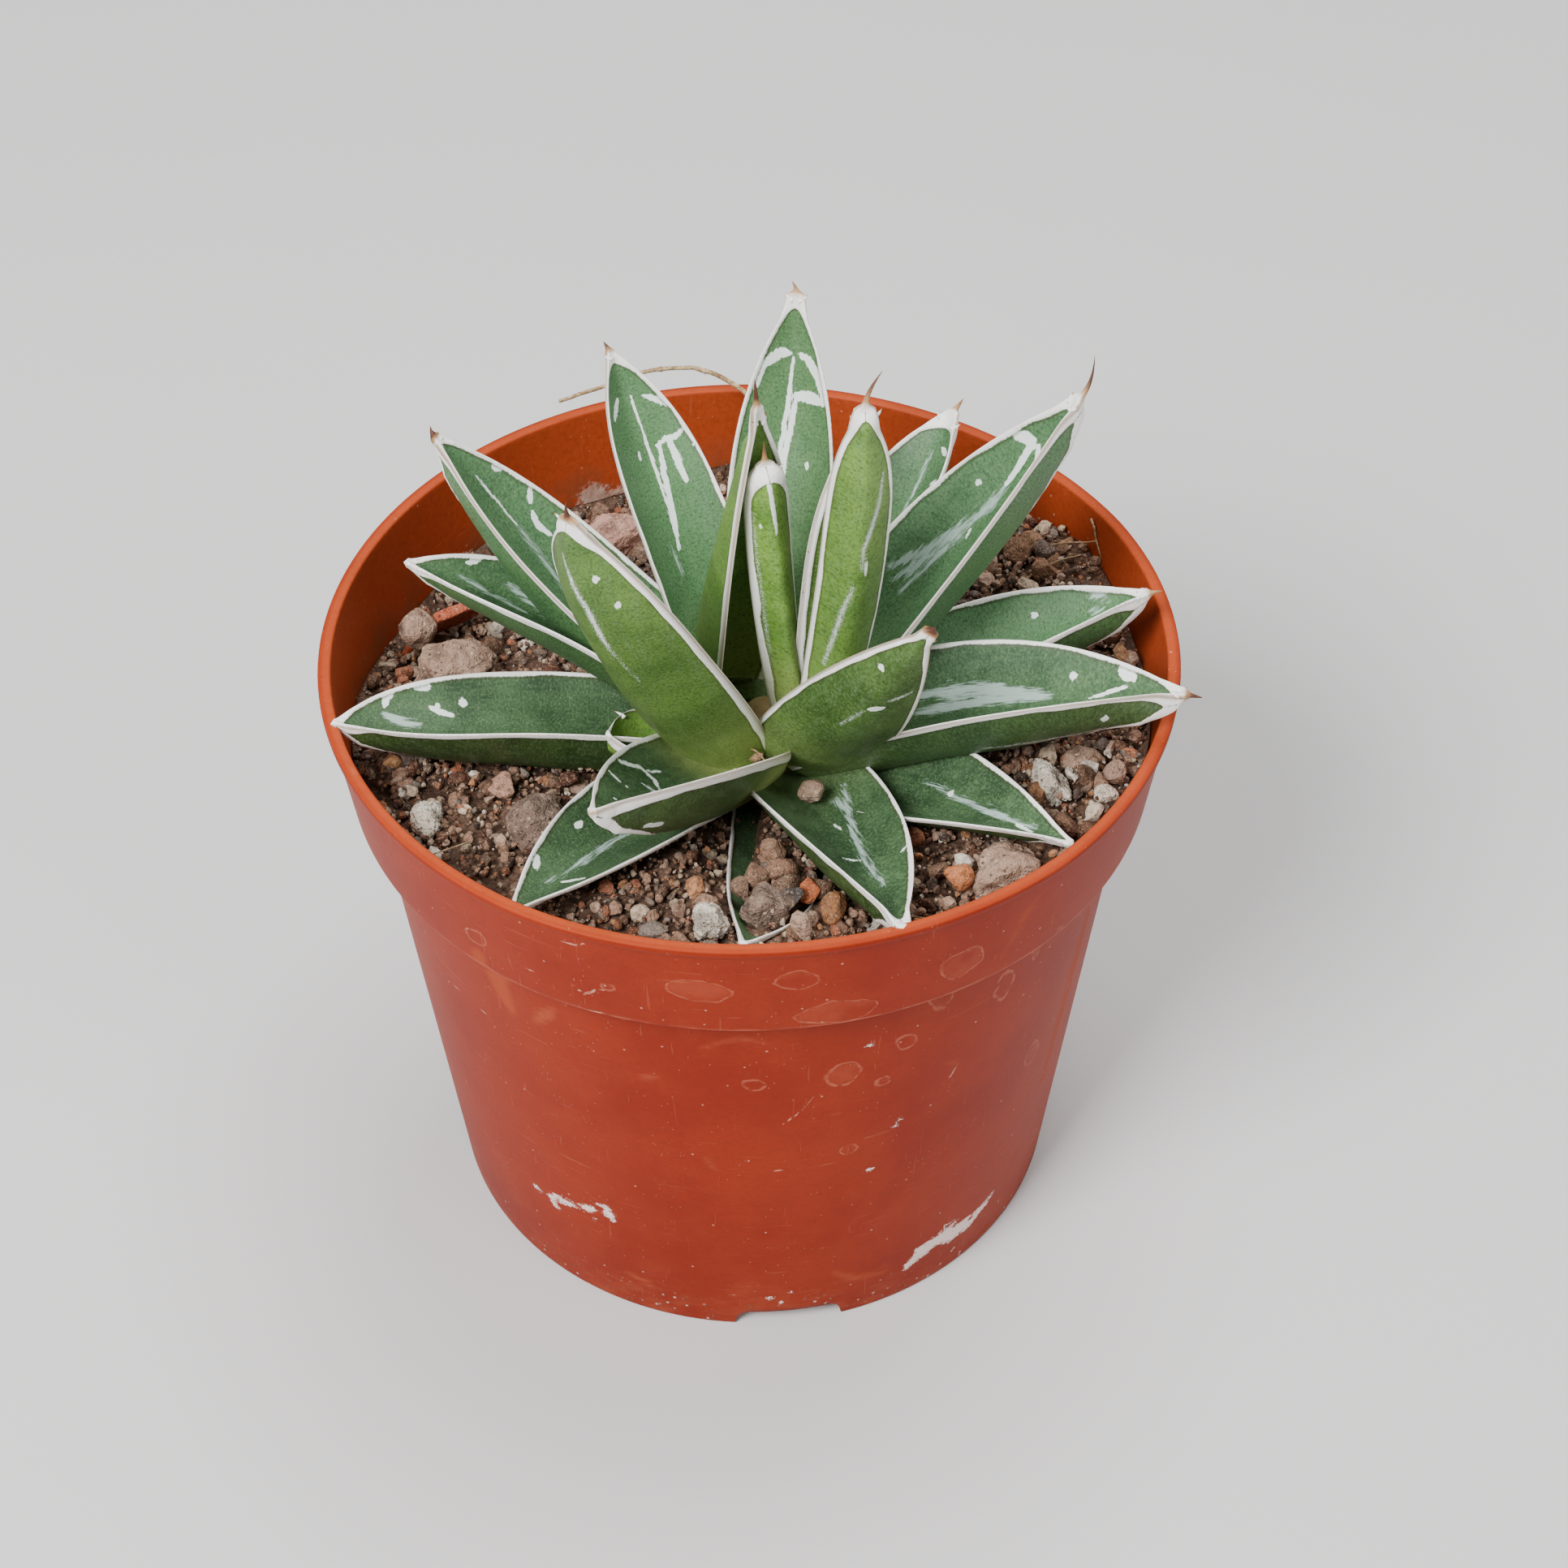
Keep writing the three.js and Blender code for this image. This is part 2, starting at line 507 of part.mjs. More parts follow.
place('stem', stemGeometry(), COLOUR.stem, 0.6);
for (const [name, leaf] of Object.entries(LEAVES)) {
  place(name, leafGeometry(leaf), name.startsWith('bud') ? COLOUR.youngLeaf : COLOUR.leaf, 0.5);
}
place('dry_stalk', stalkGeometry(), COLOUR.stalk, 0.8);
for (const [index, [name, stone]] of Object.entries(STONES).entries()) {
  place(name, stoneGeometry(stone, index + 1), stone.colour, 0.95);
}
place('pot_shard', shardGeometry(), SHARD.colour, 0.6);
addPiece('soil', fitted(soilGeometry()), COLOUR.soil, 0.95);
addPiece('pot', potGeometry(), COLOUR.pot, 0.45);

export default potted;
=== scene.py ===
"""A small white-edged agave in a round plastic nursery pot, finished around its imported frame.

Sizes below are millimetres unless a name says otherwise; the meshes are written in metres.
Headings are degrees from +X towards +Y, and the front of the pot faces -Y.
"""

import math

import bpy
import numpy as np
from mathutils import Matrix


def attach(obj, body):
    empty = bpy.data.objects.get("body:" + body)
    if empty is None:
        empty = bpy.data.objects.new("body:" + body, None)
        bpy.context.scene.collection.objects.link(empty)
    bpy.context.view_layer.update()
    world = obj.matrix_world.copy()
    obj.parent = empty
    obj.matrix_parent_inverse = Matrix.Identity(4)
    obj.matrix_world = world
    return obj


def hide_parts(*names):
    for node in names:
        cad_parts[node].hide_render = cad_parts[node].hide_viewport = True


bl_info = {
    "name": "Potted agave",
    "version": (1, 0, 0),
    "blender": (4, 5, 0),
    "location": "3D View > Sidebar > Agave",
    "description": "Builds a white-edged agave, its gritty soil and its nursery pot",
    "category": "Add Mesh",
}

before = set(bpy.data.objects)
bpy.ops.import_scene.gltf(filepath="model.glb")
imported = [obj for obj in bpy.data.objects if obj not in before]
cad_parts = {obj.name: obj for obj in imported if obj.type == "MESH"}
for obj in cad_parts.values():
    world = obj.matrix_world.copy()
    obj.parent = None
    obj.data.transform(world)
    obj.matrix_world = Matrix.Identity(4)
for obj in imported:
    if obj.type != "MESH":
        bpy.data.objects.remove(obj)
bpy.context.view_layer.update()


# ------------------------------------------------------------------ sizes and places

MM = 0.001

# The pot: radii, heights, and the thickness of its wall and floor. The collar and the lip are
# measured down from the rim's top.
POT = dict(height=95.5, rim=60.0, foot=46.1, body_top=54.4, collar=18.0, collar_top=59.4,
           collar_foot=57.2, lip_height=1.1, lip_width=1.8, wall=1.3, foot_height=3.3, floor=1.6,
           floor_ring=42.5, foot_bevel=43.9, foot_inside=44.5)
# Foot notches, with the heading of the first, and the drain holes on their ring in the floor's disc.
NOTCH = dict(width=16.0, count=4, heading=6.0, round_top=2.2)
DRAIN = dict(radius=4.0, ring=33.0, count=8, disc=43.2, hub=20)
COLLAR_FOOT = POT["height"] - POT["collar"]
FLOOR_TOP = POT["foot_height"] + POT["floor"]
# Headings become lengths round the pot at these radii, so that marks can be laid out in mm.
UNROLLED, UNROLLED_INSIDE = 54, 56
# What moves a height from the rim's plane to the ground's.
RIM_UP = np.array([0, 0, POT["height"]])

# The camera: the rise in degrees from which it looks at the rim's middle, how many metres away it
# is, how many degrees its view is turned off that point and rolled, its focal length in pixels of
# the photograph and the photograph's side, and its sensor's width.
CAMERA = dict(rise=41.323, away=0.44101, aside=0.5988, upward=-2.5885, roll=-0.5911,
              focus=3890.6, photo_size=1932, sensor=36)
# Soft lamps: name, place and size in metres, power; and the height on the axis that they point at.
LAMPS_AIM = 0.08
LAMPS = (("window light", (-0.55, -0.7, 1.0), 0.5, 27), ("fill light", (0.9, -0.6, 0.6), 0.7, 4),
         ("top light", (0.15, 0.3, 1.2), 0.6, 11))

SOIL_TOP = POT["height"] - 10.5
# Broad swells and dips of the soil: x, y, reach, rise.
SWELLS = ((45, 25, 11, 5.0), (-42, 18, 20, -6.5), (-18, 44, 20, -5.5),
          (5, -50, 22, 3.5), (46, -20, 16, 2.0), (-46, -24, 14, 1.5))

# The middle of the rosette, from which the leaves spring.
CROWN = np.array([2.0, -8.0, POT["height"] - 12])

# Each leaf: heading and rise at its base, and how far both turn along it; length and width; width of
# the base as a part of that, where it is widest, and how blunt its outline is; roll and twist about
# the midrib; depth of the channel at base and tip as a part of the half width; thickness; how far
# out and up from the crown it springs; and the length of its spine.
LEAF_KEYS = ("heading", "turn", "rise", "bend", "length", "width", "base", "widest", "blunt", "roll",
             "twist", "channel_base", "channel_tip", "thick", "out", "up", "spine")
LEAF_ROWS = {
    "bud_leaf_front": (
        325, -2.9, 98.7, -6.8, 42.2, 6.3, 0.75, 0.74, 5.3, 32.3, 3, 0.9, 0.6, 2.4, 4, 7.7, 3.6),
    "bud_leaf_rear": (
        148, -3.4, 100.5, -13.9, 52, 14.6, 0.75, 0.28, 2.3, 2.5, 2.7, 0.88, 0.4, 3.1, 3.8, 6.4, 4.5),
    "leaf_inner_right": (
        5, -3.6, 85.7, -2.9, 44.7, 11.4, 0.75, 0.47, 3.7, 26.8, 8.7, 0.5, 0.5, 3, 5.5, 6, 3),
    "leaf_upright_right": (
        329.5, -1, 77.4, 12.3, 57.8, 8.8, 0.75, 0.53, 4.6, 55.8, -3, 0.22, 0.5, 3.4, 8.2, 6.8, 5),
    "leaf_front_left_raised": (
        216, -0.2, 61.7, 7.6, 56.1, 20.2, 0.72, 0.43, 3.8, -32.1, 20.2, 0.3, 0.42, 3.5, 6.5, 4, 3),
    "leaf_front_right_raised": (
        310, -1.4, 56.1, 2.4, 46.9, 17.4, 0.8, 0.15, 1.9, 42.9, 17.1, 0.15, 0.55, 1.7, 7.4, 3.4, 1.5),
    "leaf_back": (
        83, -3.7, 66.3, -10.6, 57.4, 14.8, 0.75, 0.41, 2.8, 0.2, 0.1, 0.25, 0.55, 4, 4.4, 3.5, 1.8),
    "leaf_right_back": (
        20, -7, 57.6, -15.5, 61.1, 18.4, 0.75, 0.34, 2.6, -0.8, 7.5, 0.28, 0.8, 5.4, 4.2, 3.7, 5.5),
    "leaf_left_long": (
        158, 1.4, 37.2, 4.9, 56.5, 18.6, 0.8, 0.33, 3.1, -7.8, -2.9, 0.68, 0.4, 5.1, 3.8, 5.4, 1.4),
    "leaf_back_left": (
        118, 3.7, 54.7, -18.2, 54.2, 15.4, 0.75, 0.42, 3.6, -9.7, -6, 0.25, 0.55, 4, 4.4, 2.5, 1.6),
    "leaf_back_right": (
        56, -7.8, 46.8, -20.3, 50.7, 15.1, 0.75, 0.41, 4.5, 19.9, 0, 0.25, 0.55, 4, 3.7, 1.2, 2.6),
    "leaf_right": (
        350, -2.8, 39.2, -45, 56.2, 20.7, 0.78, 0.34, 2.7, 0.7, 15.9, 0.46, 0.66, 5.9, 4.7, 3.4, 2.5),
    "leaf_right_behind": (
        7, -6.9, 37.2, -25.7, 54.5, 17.5, 0.75, 0.45, 2.4, 1.2, 10.7, 0.25, 0.85, 4.7, 4, 2.2, 2.2),
    "leaf_front_left_folded": (
        243, -1.5, 38, -17.5, 51.2, 18.1, 0.73, 0.36, 2.2, -5.7, -7.3, 0.46, 0.68, 5.1, 2.4, 3.1, 0.8),
    "leaf_left_short": (
        204, 3.3, 26.3, 3.7, 22.1, 11.8, 0.75, 0.59, 2.2, 4.2, 3.1, 0.25, 0.55, 3.4, 3.9, 1.1, 0.4),
    "leaf_left": (
        183, 10.4, 18.7, -20.3, 55, 17.2, 0.77, 0.49, 3.6, -10.1, -2.9, 0.66, 0.52, 5.3, 4.9, 4.3, 0.6),
    "leaf_left_behind": (
        165, 7.3, 52, -47.1, 52.5, 14.7, 0.75, 0.46, 3.5, -10, -1.9, 0.32, 0.5, 4.1, 4.8, 1.4, 0.5),
    "leaf_front": (
        295, -10.2, 23, -21.3, 47.8, 18.7, 0.75, 0.28, 2.2, 5.9, 14.8, 0.31, 0.74, 3.7, 3.5, 1.8, 1),
    "leaf_front_left_low": (
        227.5, 3.4, 25.4, -33.2, 49.2, 16.2, 0.75, 0.3, 2.7, 1.5, -0.4, 0.25, 0.55, 3.6, 3, -0.6, 0.7),
    "leaf_front_right_low": (
        323.5, -3.5, 32.6, -34, 48.9, 17.3, 0.75, 0.42, 1.6, -12, 16, 0.25, 0.55, 3.6, 4.5, -2, 0.5),
    "leaf_front_buried": (
        280, -31.1, 1.5, 21.5, 43, 13.7, 0.75, 0.43, 2.4, 5.1, -2.5, 0.25, 0.5, 3.2, 3.6, -2.2, 0.4),
}
# How far single leaves are moved from there, along the line of sight, so that the right one is in
# front where two cross.
LEAF_SHIFTS = {"leaf_right": (0, -0.4, 0.4), "leaf_right_behind": (0, 6.6, -5.8),
               "leaf_front_right_low": (0, 2, -1.8)}
LEAVES = {name: {**dict(zip(LEAF_KEYS, row)), "shift": LEAF_SHIFTS.get(name, (0, 0, 0))}
          for name, row in LEAF_ROWS.items()}
BURIED = "leaf_front_buried"

# What the skin of a leaf shows besides: fresh is how young and yellow-green it is, pale how far the
# base has blanched, rim and under the widths of the horny edge on the upper face and the underside,
# keel where the white rib on the underside starts (1 is none) and rib its width, cap the length of
# the white tip, tone how brown the spine is and dried how far down it is brown, shoulder how much
# wider the horn makes the tip, chin how much deeper the keel's tip is, bloom how far the skin turns
# a paler waxy green, partly for its wax and partly as painted light on leaves that face the lamps,
# hook how far the spine's point bends (across, normal), teeth (side, place, length). A leaf says
# only what differs from the plain one, whose rim is a setting.
PLAIN = dict(fresh=0.0, pale=0.25, under=0.3, keel=0.84, rib=2.0, cap=1.5, tone=0.5, dried=1.0,
             shoulder=0.25, chin=0.0, bloom=0.0, hook=(0, 0), teeth=())
SKINS = {
    "bud_leaf_front": dict(fresh=1, pale=0.7, under=0.6, keel=1, tone=0.45, shoulder=0.9,
        teeth=((-1, 0.965, 0.5),)),
    "bud_leaf_rear": dict(fresh=0.8, pale=0.5, under=0.45, keel=1, cap=1.8, tone=1, shoulder=0.5,
        teeth=((1, 0.95, 0.8), (-1, 0.96, 0.5))),
    "leaf_inner_right": dict(fresh=0.5, pale=0.5, under=0.45, keel=1, cap=1.8, tone=0.6,
        teeth=((1, 0.7, 0.5), (1, 0.55, 0.5))),
    "leaf_upright_right": dict(fresh=0.68, pale=0.35, under=0.52, keel=1, cap=1, tone=0.55,
        shoulder=0.95, hook=(-0.9, 0.4), teeth=((-1, 0.975, 1), (1, 0.97, 0.4))),
    "leaf_front_left_raised": dict(fresh=0.4, pale=0.45, under=0.6, keel=1, cap=1, tone=1,
        shoulder=1.2, hook=(-0.2, 0.5), teeth=((1, 0.975, 0.9), (-1, 0.97, 0.5))),
    "leaf_front_right_raised": dict(fresh=0.15, pale=0.3, under=0.5, keel=1, cap=1, tone=0.9,
        shoulder=0.6, teeth=((-1, 0.95, 0.7),)),
    "leaf_back": dict(fresh=0.1, bloom=0.4, cap=1.9, tone=0.35, shoulder=0.7, hook=(-0.9, 0.2),
        teeth=((-1, 0.985, 0.8), (1, 0.985, 0.8))),
    "leaf_right_back": dict(keel=0.7, rib=1.8, cap=1.9, tone=0.8, chin=1.3, bloom=0.4, shoulder=0.8,
        hook=(-0.6, 0.9), teeth=((-1, 0.98, 0.9), (1, 0.975, 1))),
    "leaf_left_long": dict(tone=1, bloom=0.42, shoulder=0.4, hook=(0.9, 0.6),
        teeth=((-1, 0.98, 0.8), (1, 0.985, 0.5))),
    "leaf_back_left": dict(fresh=0.05, cap=1.7, tone=0.6, bloom=0.5, hook=(-0.5, 0.3),
        teeth=((-1, 0.98, 0.6), (1, 0.7, 0.3))),
    "leaf_back_right": dict(cap=2.4, tone=0.35, bloom=0.3, shoulder=0.7,
        teeth=((1, 0.95, 0.8), (-1, 0.97, 0.7))),
    "leaf_right": dict(keel=0.74, rib=1.9, cap=1.8, tone=0.8, chin=1.8, bloom=0.12, shoulder=0.8,
        teeth=((-1, 0.985, 0.7), (1, 0.975, 0.8))),
    "leaf_right_behind": dict(keel=0.8, rib=1.8, tone=0.3, chin=1.3, bloom=0.4, shoulder=0.5,
        teeth=((-1, 0.98, 0.5),)),
    "leaf_front_left_folded": dict(pale=0.95, under=0.6, keel=0.68, cap=1, tone=0.7, chin=0.9,
        dried=0.3),
    "leaf_left_short": dict(fresh=1, pale=0.6, rim=0.22, under=0.2, keel=1, cap=0.3, dried=0,
        teeth=((-1, 0.6, 0.9), (1, 0.8, 0.9))),
    "leaf_left": dict(pale=0.1, cap=1.2, tone=0.4, chin=0.6, dried=0.1, teeth=((1, 0.2, 0.7),)),
    "leaf_left_behind": dict(cap=1.2, tone=0.3, dried=0.1, bloom=0.2),
    "leaf_front": dict(cap=1.6, tone=0.2, dried=0.15, shoulder=0.8, chin=0.8,
        teeth=((-1, 0.98, 0.8), (1, 0.985, 1))),
    "leaf_front_left_low": dict(cap=0.8, dried=0.5, teeth=((1, 0.35, 0.4),)),
    "leaf_front_right_low": dict(cap=0.8, tone=0.4, dried=0.1),
    "leaf_front_buried": dict(cap=0.8, tone=0.4, dried=0.1),
}

# White imprints that neighbouring leaves left on the skin: kind, width in mm, and points as percents
# of the length and of the half width. Upper and under are solid marks on one face; veils are thin
# and streaky and lie on the upper face, and powder is grainy and lies on the underside.
IMPRINTS = {
    "leaf_back": (
        ("upper", 1.5, (83, -78), (86, -42), (86, -12)), ("upper", 0.8, (83, -78), (77, -84)),
        ("upper", 1.2, (86, 26), (85, 55), (81, 80), (76, 86)),
        ("upper", 0.7, (85, 3), (75, -2), (64, -10), (54, -9)),
        ("upper", 1.7, (76, 16), (76, 50), (75, 82)), ("upper", 0.9, (76, 16), (70, 9), (62, 0), (50, -5)),
        ("upper", 0.8, (60, 45), (58.8, 45))),
    "leaf_back_left": (
        ("upper", 0.55, (88, 30), (78, 21), (70, 14), (62, 8), (48, -5)),
        ("upper", 0.8, (73.5, 35), (74.5, 58), (74, 73), (75, 92)),
        ("upper", 0.9, (73, 40), (66, 25), (55, 8), (46, -8)), ("upper", 1, (73, 61), (68, 58), (62, 55)),
        ("upper", 0.9, (88, -25), (83, -62)), ("upper", 0.7, (87, 60), (85, 80), (82, 92)),
        ("upper", 0.55, (74, -8), (71, -12)), ("veil", 0.8, (48, -26), (40, -21))),
    "leaf_left_long": (
        ("upper", 0.4, (86, 38), (78, 34), (70, 29)), ("veil", 1, (72, 30), (61, 18), (46, -2)),
        ("upper", 0.9, (84, 86), (82, 90)), ("upper", 0.9, (73.5, 92), (71, 75)),
        ("upper", 1, (69, 64), (66, 54), (62, 56)), ("veil", 1.1, (87, -76), (81, -60))),
    "leaf_left_behind": (
        ("veil", 0.9, (87, 36), (77, 12), (66, 0)), ("veil", 1.4, (73, 50), (63, 24), (55, 10)),
        ("upper", 0.9, (85, 76), (82, 92))),
    "leaf_left": (
        ("upper", 1.3, (67.5, 63), (66.5, 63)), ("upper", 0.9, (75.5, 58), (73, 49), (70, 42)),
        ("upper", 0.7, (73.5, 64), (74, 46)), ("veil", 1.7, (87, 52), (84, 36), (79, 24)),
        ("upper", 1, (87, 72), (86, 90), (84.5, 94)), ("upper", 1, (78.5, 92), (75, 90))),
    "leaf_front_left_raised": (
        ("under", 0.85, (87.3, -51), (86, -48)), ("under", 0.85, (79.2, -59), (77.9, -56)),
        ("under", 0.5, (73.5, -39), (73.1, -39)),
        ("powder", 1.1, (92.1, 20), (85.4, -2), (77.5, -13), (66.7, -13), (60.8, -16)),
        ("powder", 0.5, (60.8, -16), (55.8, -21), (50.4, -26))),
    "leaf_front_left_folded": (
        ("upper", 0.8, (58, 90), (50, 69), (50, 45), (53, 30)), ("upper", 0.5, (49, 62), (43, 50)),
        ("upper", 0.7, (68, 88), (67, 68)), ("veil", 1.3, (56, 42), (58, 10), (60, -40)),
        ("upper", 0.45, (57, 50), (56, 20), (55, -20)), ("upper", 0.6, (66.3, 55), (65.7, 55)),
        ("upper", 0.6, (80.3, 45), (79.7, 45)), ("under", 0.9, (79, -32), (72, -38))),
    "leaf_front_left_low": (
        ("veil", 1.2, (85, 12), (71, 0), (54, -4)), ("upper", 1, (64, 62), (62, 62)),
        ("upper", 1, (81, 80), (84, 68)), ("upper", 0.8, (82, -20), (78, -64))),
    "leaf_front": (
        ("veil", 1.3, (23, -60), (33, -45), (47, -32), (61, -27), (76, -34)),
        ("veil", 1.4, (27, -35), (35, -45)), ("upper", 0.5, (37, -12), (42, -21)),
        ("upper", 0.6, (57, 5), (60, -20)), ("upper", 0.5, (65, -82), (64, -93)),
        ("upper", 0.7, (77, 55), (75, 80))),
    "leaf_front_right_low": (
        ("veil", 1.2, (46, -28), (63, -16), (78, -9), (88, -15)), ("upper", 1.2, (56.5, -22), (55.5, -22)),
        ("upper", 0.8, (82, 1), (88, 25))),
    "leaf_right": (
        ("veil", 2.4, (30, -44), (46, -42), (56, -33), (66, -27)),
        ("veil", 2.2, (30, -18), (46, -24), (66, -27)), ("upper", 1.25, (72.5, -62), (71.5, -62)),
        ("upper", 1.5, (84, -84), (87.5, -72)), ("upper", 0.7, (77, -20), (82, -36), (86, -50)),
        ("under", 1.1, (82.5, 58), (81.5, 58)), ("powder", 1, (50, 50), (60, 40), (72, 26), (84, 12))),
    "leaf_right_behind": (
        ("upper", 0.85, (70.5, -62), (69.5, -62)), ("veil", 0.9, (85, -40), (88, -34)),
        ("veil", 1.2, (86, -85), (90, -70)), ("veil", 1.6, (34, -10), (45, -12)),
        ("under", 0.5, (86.5, -31), (86, -31))),
    "leaf_right_back": (
        ("upper", 1.5, (83, -85), (85, -62), (85, -40)), ("upper", 1, (86, -50), (80, -35), (74, -26)),
        ("veil", 1.6, (74, -26), (66, -22), (58, -29), (47, -46), (40, -64)),
        ("veil", 1.3, (68, -21), (52, -24), (38, -25)), ("veil", 1.4, (60, -24), (48, -34), (38, -50)),
        ("upper", 0.95, (69.5, -62), (68.5, -62)), ("upper", 0.8, (86, -30), (83, -2)),
        ("upper", 0.5, (61, -17), (58.5, -9))),
    "leaf_back_right": (
        ("veil", 0.7, (88, -20), (79, -7), (66, 1)), ("upper", 0.9, (90, 20), (88, 60)),
        ("veil", 1.4, (72, 10), (62, 3)), ("upper", 0.7, (79, 38), (80, 56))),
    "leaf_upright_right": (
        ("powder", 0.85, (84.2, -66), (77.5, -51), (71.7, -30), (66.2, -10), (60.4, -11)),
        ("under", 0.45, (63.7, -22), (58.3, -24)),
        ("powder", 0.75, (55.8, 6), (48.3, 26), (38.8, 40), (28.7, 52))),
    "bud_leaf_front": (
        ("under", 0.62, (96, 8), (94.2, 7), (86.7, -4), (78.3, -7)), ("under", 0.5, (81.2, 50), (80, 51)),
        ("powder", 0.4, (85, 74), (65, 73), (40, 72), (25, 80))),
    "bud_leaf_rear": (
        ("powder", 0.5, (41, 60), (23, 61), (8, 58)),),
    "leaf_front_right_raised": (
        ("under", 1.1, (77.5, 51), (76.5, 51)), ("under", 1.2, (60, -3), (62, -26)),
        ("powder", 0.9, (66, -30), (70, -75)), ("powder", 0.5, (45, 20), (58, 5))),
}

# Loose pieces on the soil: middle (z from the rim's plane), half sizes, turn, lumpiness, finish.
STONES = {
    "stone_left": ((-42.5, 10, -13.6), (6, 5.2, 4.6), 20, 0.1, "clod"),
    "stone_left_small": ((-48.3, 16.5, -11.6), (3, 2.8, 3), 50, 0.12, "clod"),
    "stone_front_left": ((-28.9, -26.5, -8.6), (4.6, 4.2, 3.6), 75, 0.08, "lava"),
    "pumice_left": ((-43.9, -25.9, -8.8), (2.1, 2.9, 2.3), 10, 0.2, "pumice"),
    "pumice_right": ((41, -20.6, -8.4), (2.1, 4.2, 2.2), 20, 0.36, "pumice"),
    "stone_right": ((45.6, -15.2, -9.4), (2.9, 2.8, 2.5), 0, 0.12, "clod"),
    "stone_front_right": ((33.8, -37.6, -8.2), (4.8, 4.1, 3.4), 30, 0.12, "clod"),
    "clump_front": ((1.6, -45, -6.8), (3.3, 3.2, 2.8), 40, 0.2, "lava"),
    "pumice_front": ((-5.7, -48.1, -6), (2.5, 2.4, 2.2), 80, 0.3, "pumice"),
    "stone_axil": ((8.1, -22.6, -7.4), (2, 1.7, 1.6), 15, 0.08, "clod"),
    "lump_back_left": ((-20.9, 41, -14.6), (5.6, 4, 3.6), 25, 0.14, "rosy"),
}
# Earthy finishes: name, dark, middle and light tones, dust, size of the patches, depth of the pits.
LUMP_LOOKS = {
    "clod": ("brown clod", (108, 82, 68), (160, 130, 110), (190, 160, 140), (214, 190, 168), 1.1, 0.1),
    "lava": ("dark lava", (84, 68, 60), (136, 112, 98), (164, 140, 124), (190, 170, 154), 0.8, 0.25),
    "pumice": ("cream pumice", (156, 138, 118), (212, 198, 180), (242, 234, 220), (248, 244, 234),
               0.9, 0.3),
    "rosy": ("rosy clod", (140, 98, 84), (192, 146, 128), (214, 176, 158), (224, 196, 180), 1.3, 0.1),
    "shard": ("broken terracotta", (132, 62, 40), (168, 82, 56), (190, 110, 84), (206, 160, 136),
              1.4, 0.05),
}
# The leaning shard: middle, size (wide, thick, tall), turn about Z and lean backwards.
SHARD = dict(at=(-43, 20.5, -12.2), size=(8.6, 1.6, 7.4), turn=32, lean=34)
# The dry stalk's path, from its root over the rim.
STALK_PATH = ((9.6, 30.4, -14.5), (8.5, 33.5, -8.6), (6, 41, -0.5), (1.2, 49.2, 4.6),
              (-5.6, 54.4, 6.2), (-9.4, 55.4, 6.3), (-15.4, 55.4, 5.6), (-21.8, 53.6, 4.2),
              (-28.3, 51.6, 3.2))

# Marks on the pot: width, and points as (heading, height above the ground). Scuffs are rubbed
# white, dust is a pale film and lines are hairlines.
POT_MARKS = {
    "scuff": (
        (1.4, (227.2, 20.5), (229.2, 19.8)), (2, (231.4, 20.4), (232.4, 18)),
        (2, (232.4, 21.4), (234.8, 21.4), (237.4, 21.6)), (2.1, (238.6, 22.4), (241.2, 23.4)),
        (1.5, (241.6, 25), (243.6, 25.2), (244.2, 24)), (2.2, (243.5, 24.2), (244.6, 22.2)),
        (0.8, (240.6, 20.4), (240.9, 20.7)), (1.7, (319.2, 11.4), (316.5, 10), (314, 9.6)),
        (2.6, (316, 9.4), (312.6, 8.2), (309.6, 9.4)), (3.6, (312, 10.2), (309, 8.8), (305.6, 9.4)),
        (3.4, (307.5, 10.8), (303.6, 9.6), (300.6, 10)), (2.4, (303.4, 8.2), (300.4, 8.4), (298.6, 7)),
        (1.2, (309.4, 11.8), (306.8, 12.4)), (0.8, (300.8, 6.9), (301, 7)),
        (0.7, (306.3, 12.8), (306.4, 12.9)), (0.7, (272, 6.8), (272.8, 7.4)),
        (0.7, (276, 8), (276.4, 8.8)), (0.6, (274, 5.4), (274.5, 5.9)), (0.9, (292.4, 46.4), (293.4, 48)),
        (0.8, (288.6, 37.3), (289.4, 38)), (0.6, (286.6, 67.7), (287.6, 68))),
    "dust": (
        (2.2, (230, 20.6), (236, 21.4), (244, 23.6)), (3, (318, 9.6), (309, 9.4), (299, 8.6)),
        (5, (230.8, 80.2), (229.7, 70.9), (231.5, 65.5)), (4, (330, 30), (332, 50), (333, 70)),
        (3.2, (236, 66), (240, 71)), (2.4, (253, 61.2), (255.5, 61.8)),
        (1.8, (262, 70), (268, 72.6), (272, 71)), (2, (305, 81), (308, 89), (310, 91)),
        (1.4, (313, 80), (315, 88)), (2.6, (284, 12), (288, 9), (294, 8)), (2.2, (246, 9), (252, 6.5)),
        (1.6, (262, 44), (264, 41)), (1.5, (300, 58), (304, 55))),
    "line": (
        (0.3, (245, 91.8), (247.5, 92.1), (249, 93.1)), (0.25, (234.6, 82.9), (238.9, 82.9), (242.5, 82)),
        (0.35, (245.6, 83.1), (247.5, 81.3), (249.2, 83), (250.4, 83.5)),
        (0.3, (241.6, 72.7), (246.3, 77.3), (251.5, 78.6)),
        (0.25, (215.5, 61.4), (217.3, 59.9), (221.6, 60.6), (225.2, 59.8), (227, 57.5)),
        (0.25, (274, 52), (277, 55), (279, 58.5)), (0.25, (271, 40.5), (275, 41.4), (277.5, 41.2)),
        (0.22, (300, 52), (302, 53.6), (303, 56)), (0.3, (263.8, 8.5), (266, 8.1))),
}
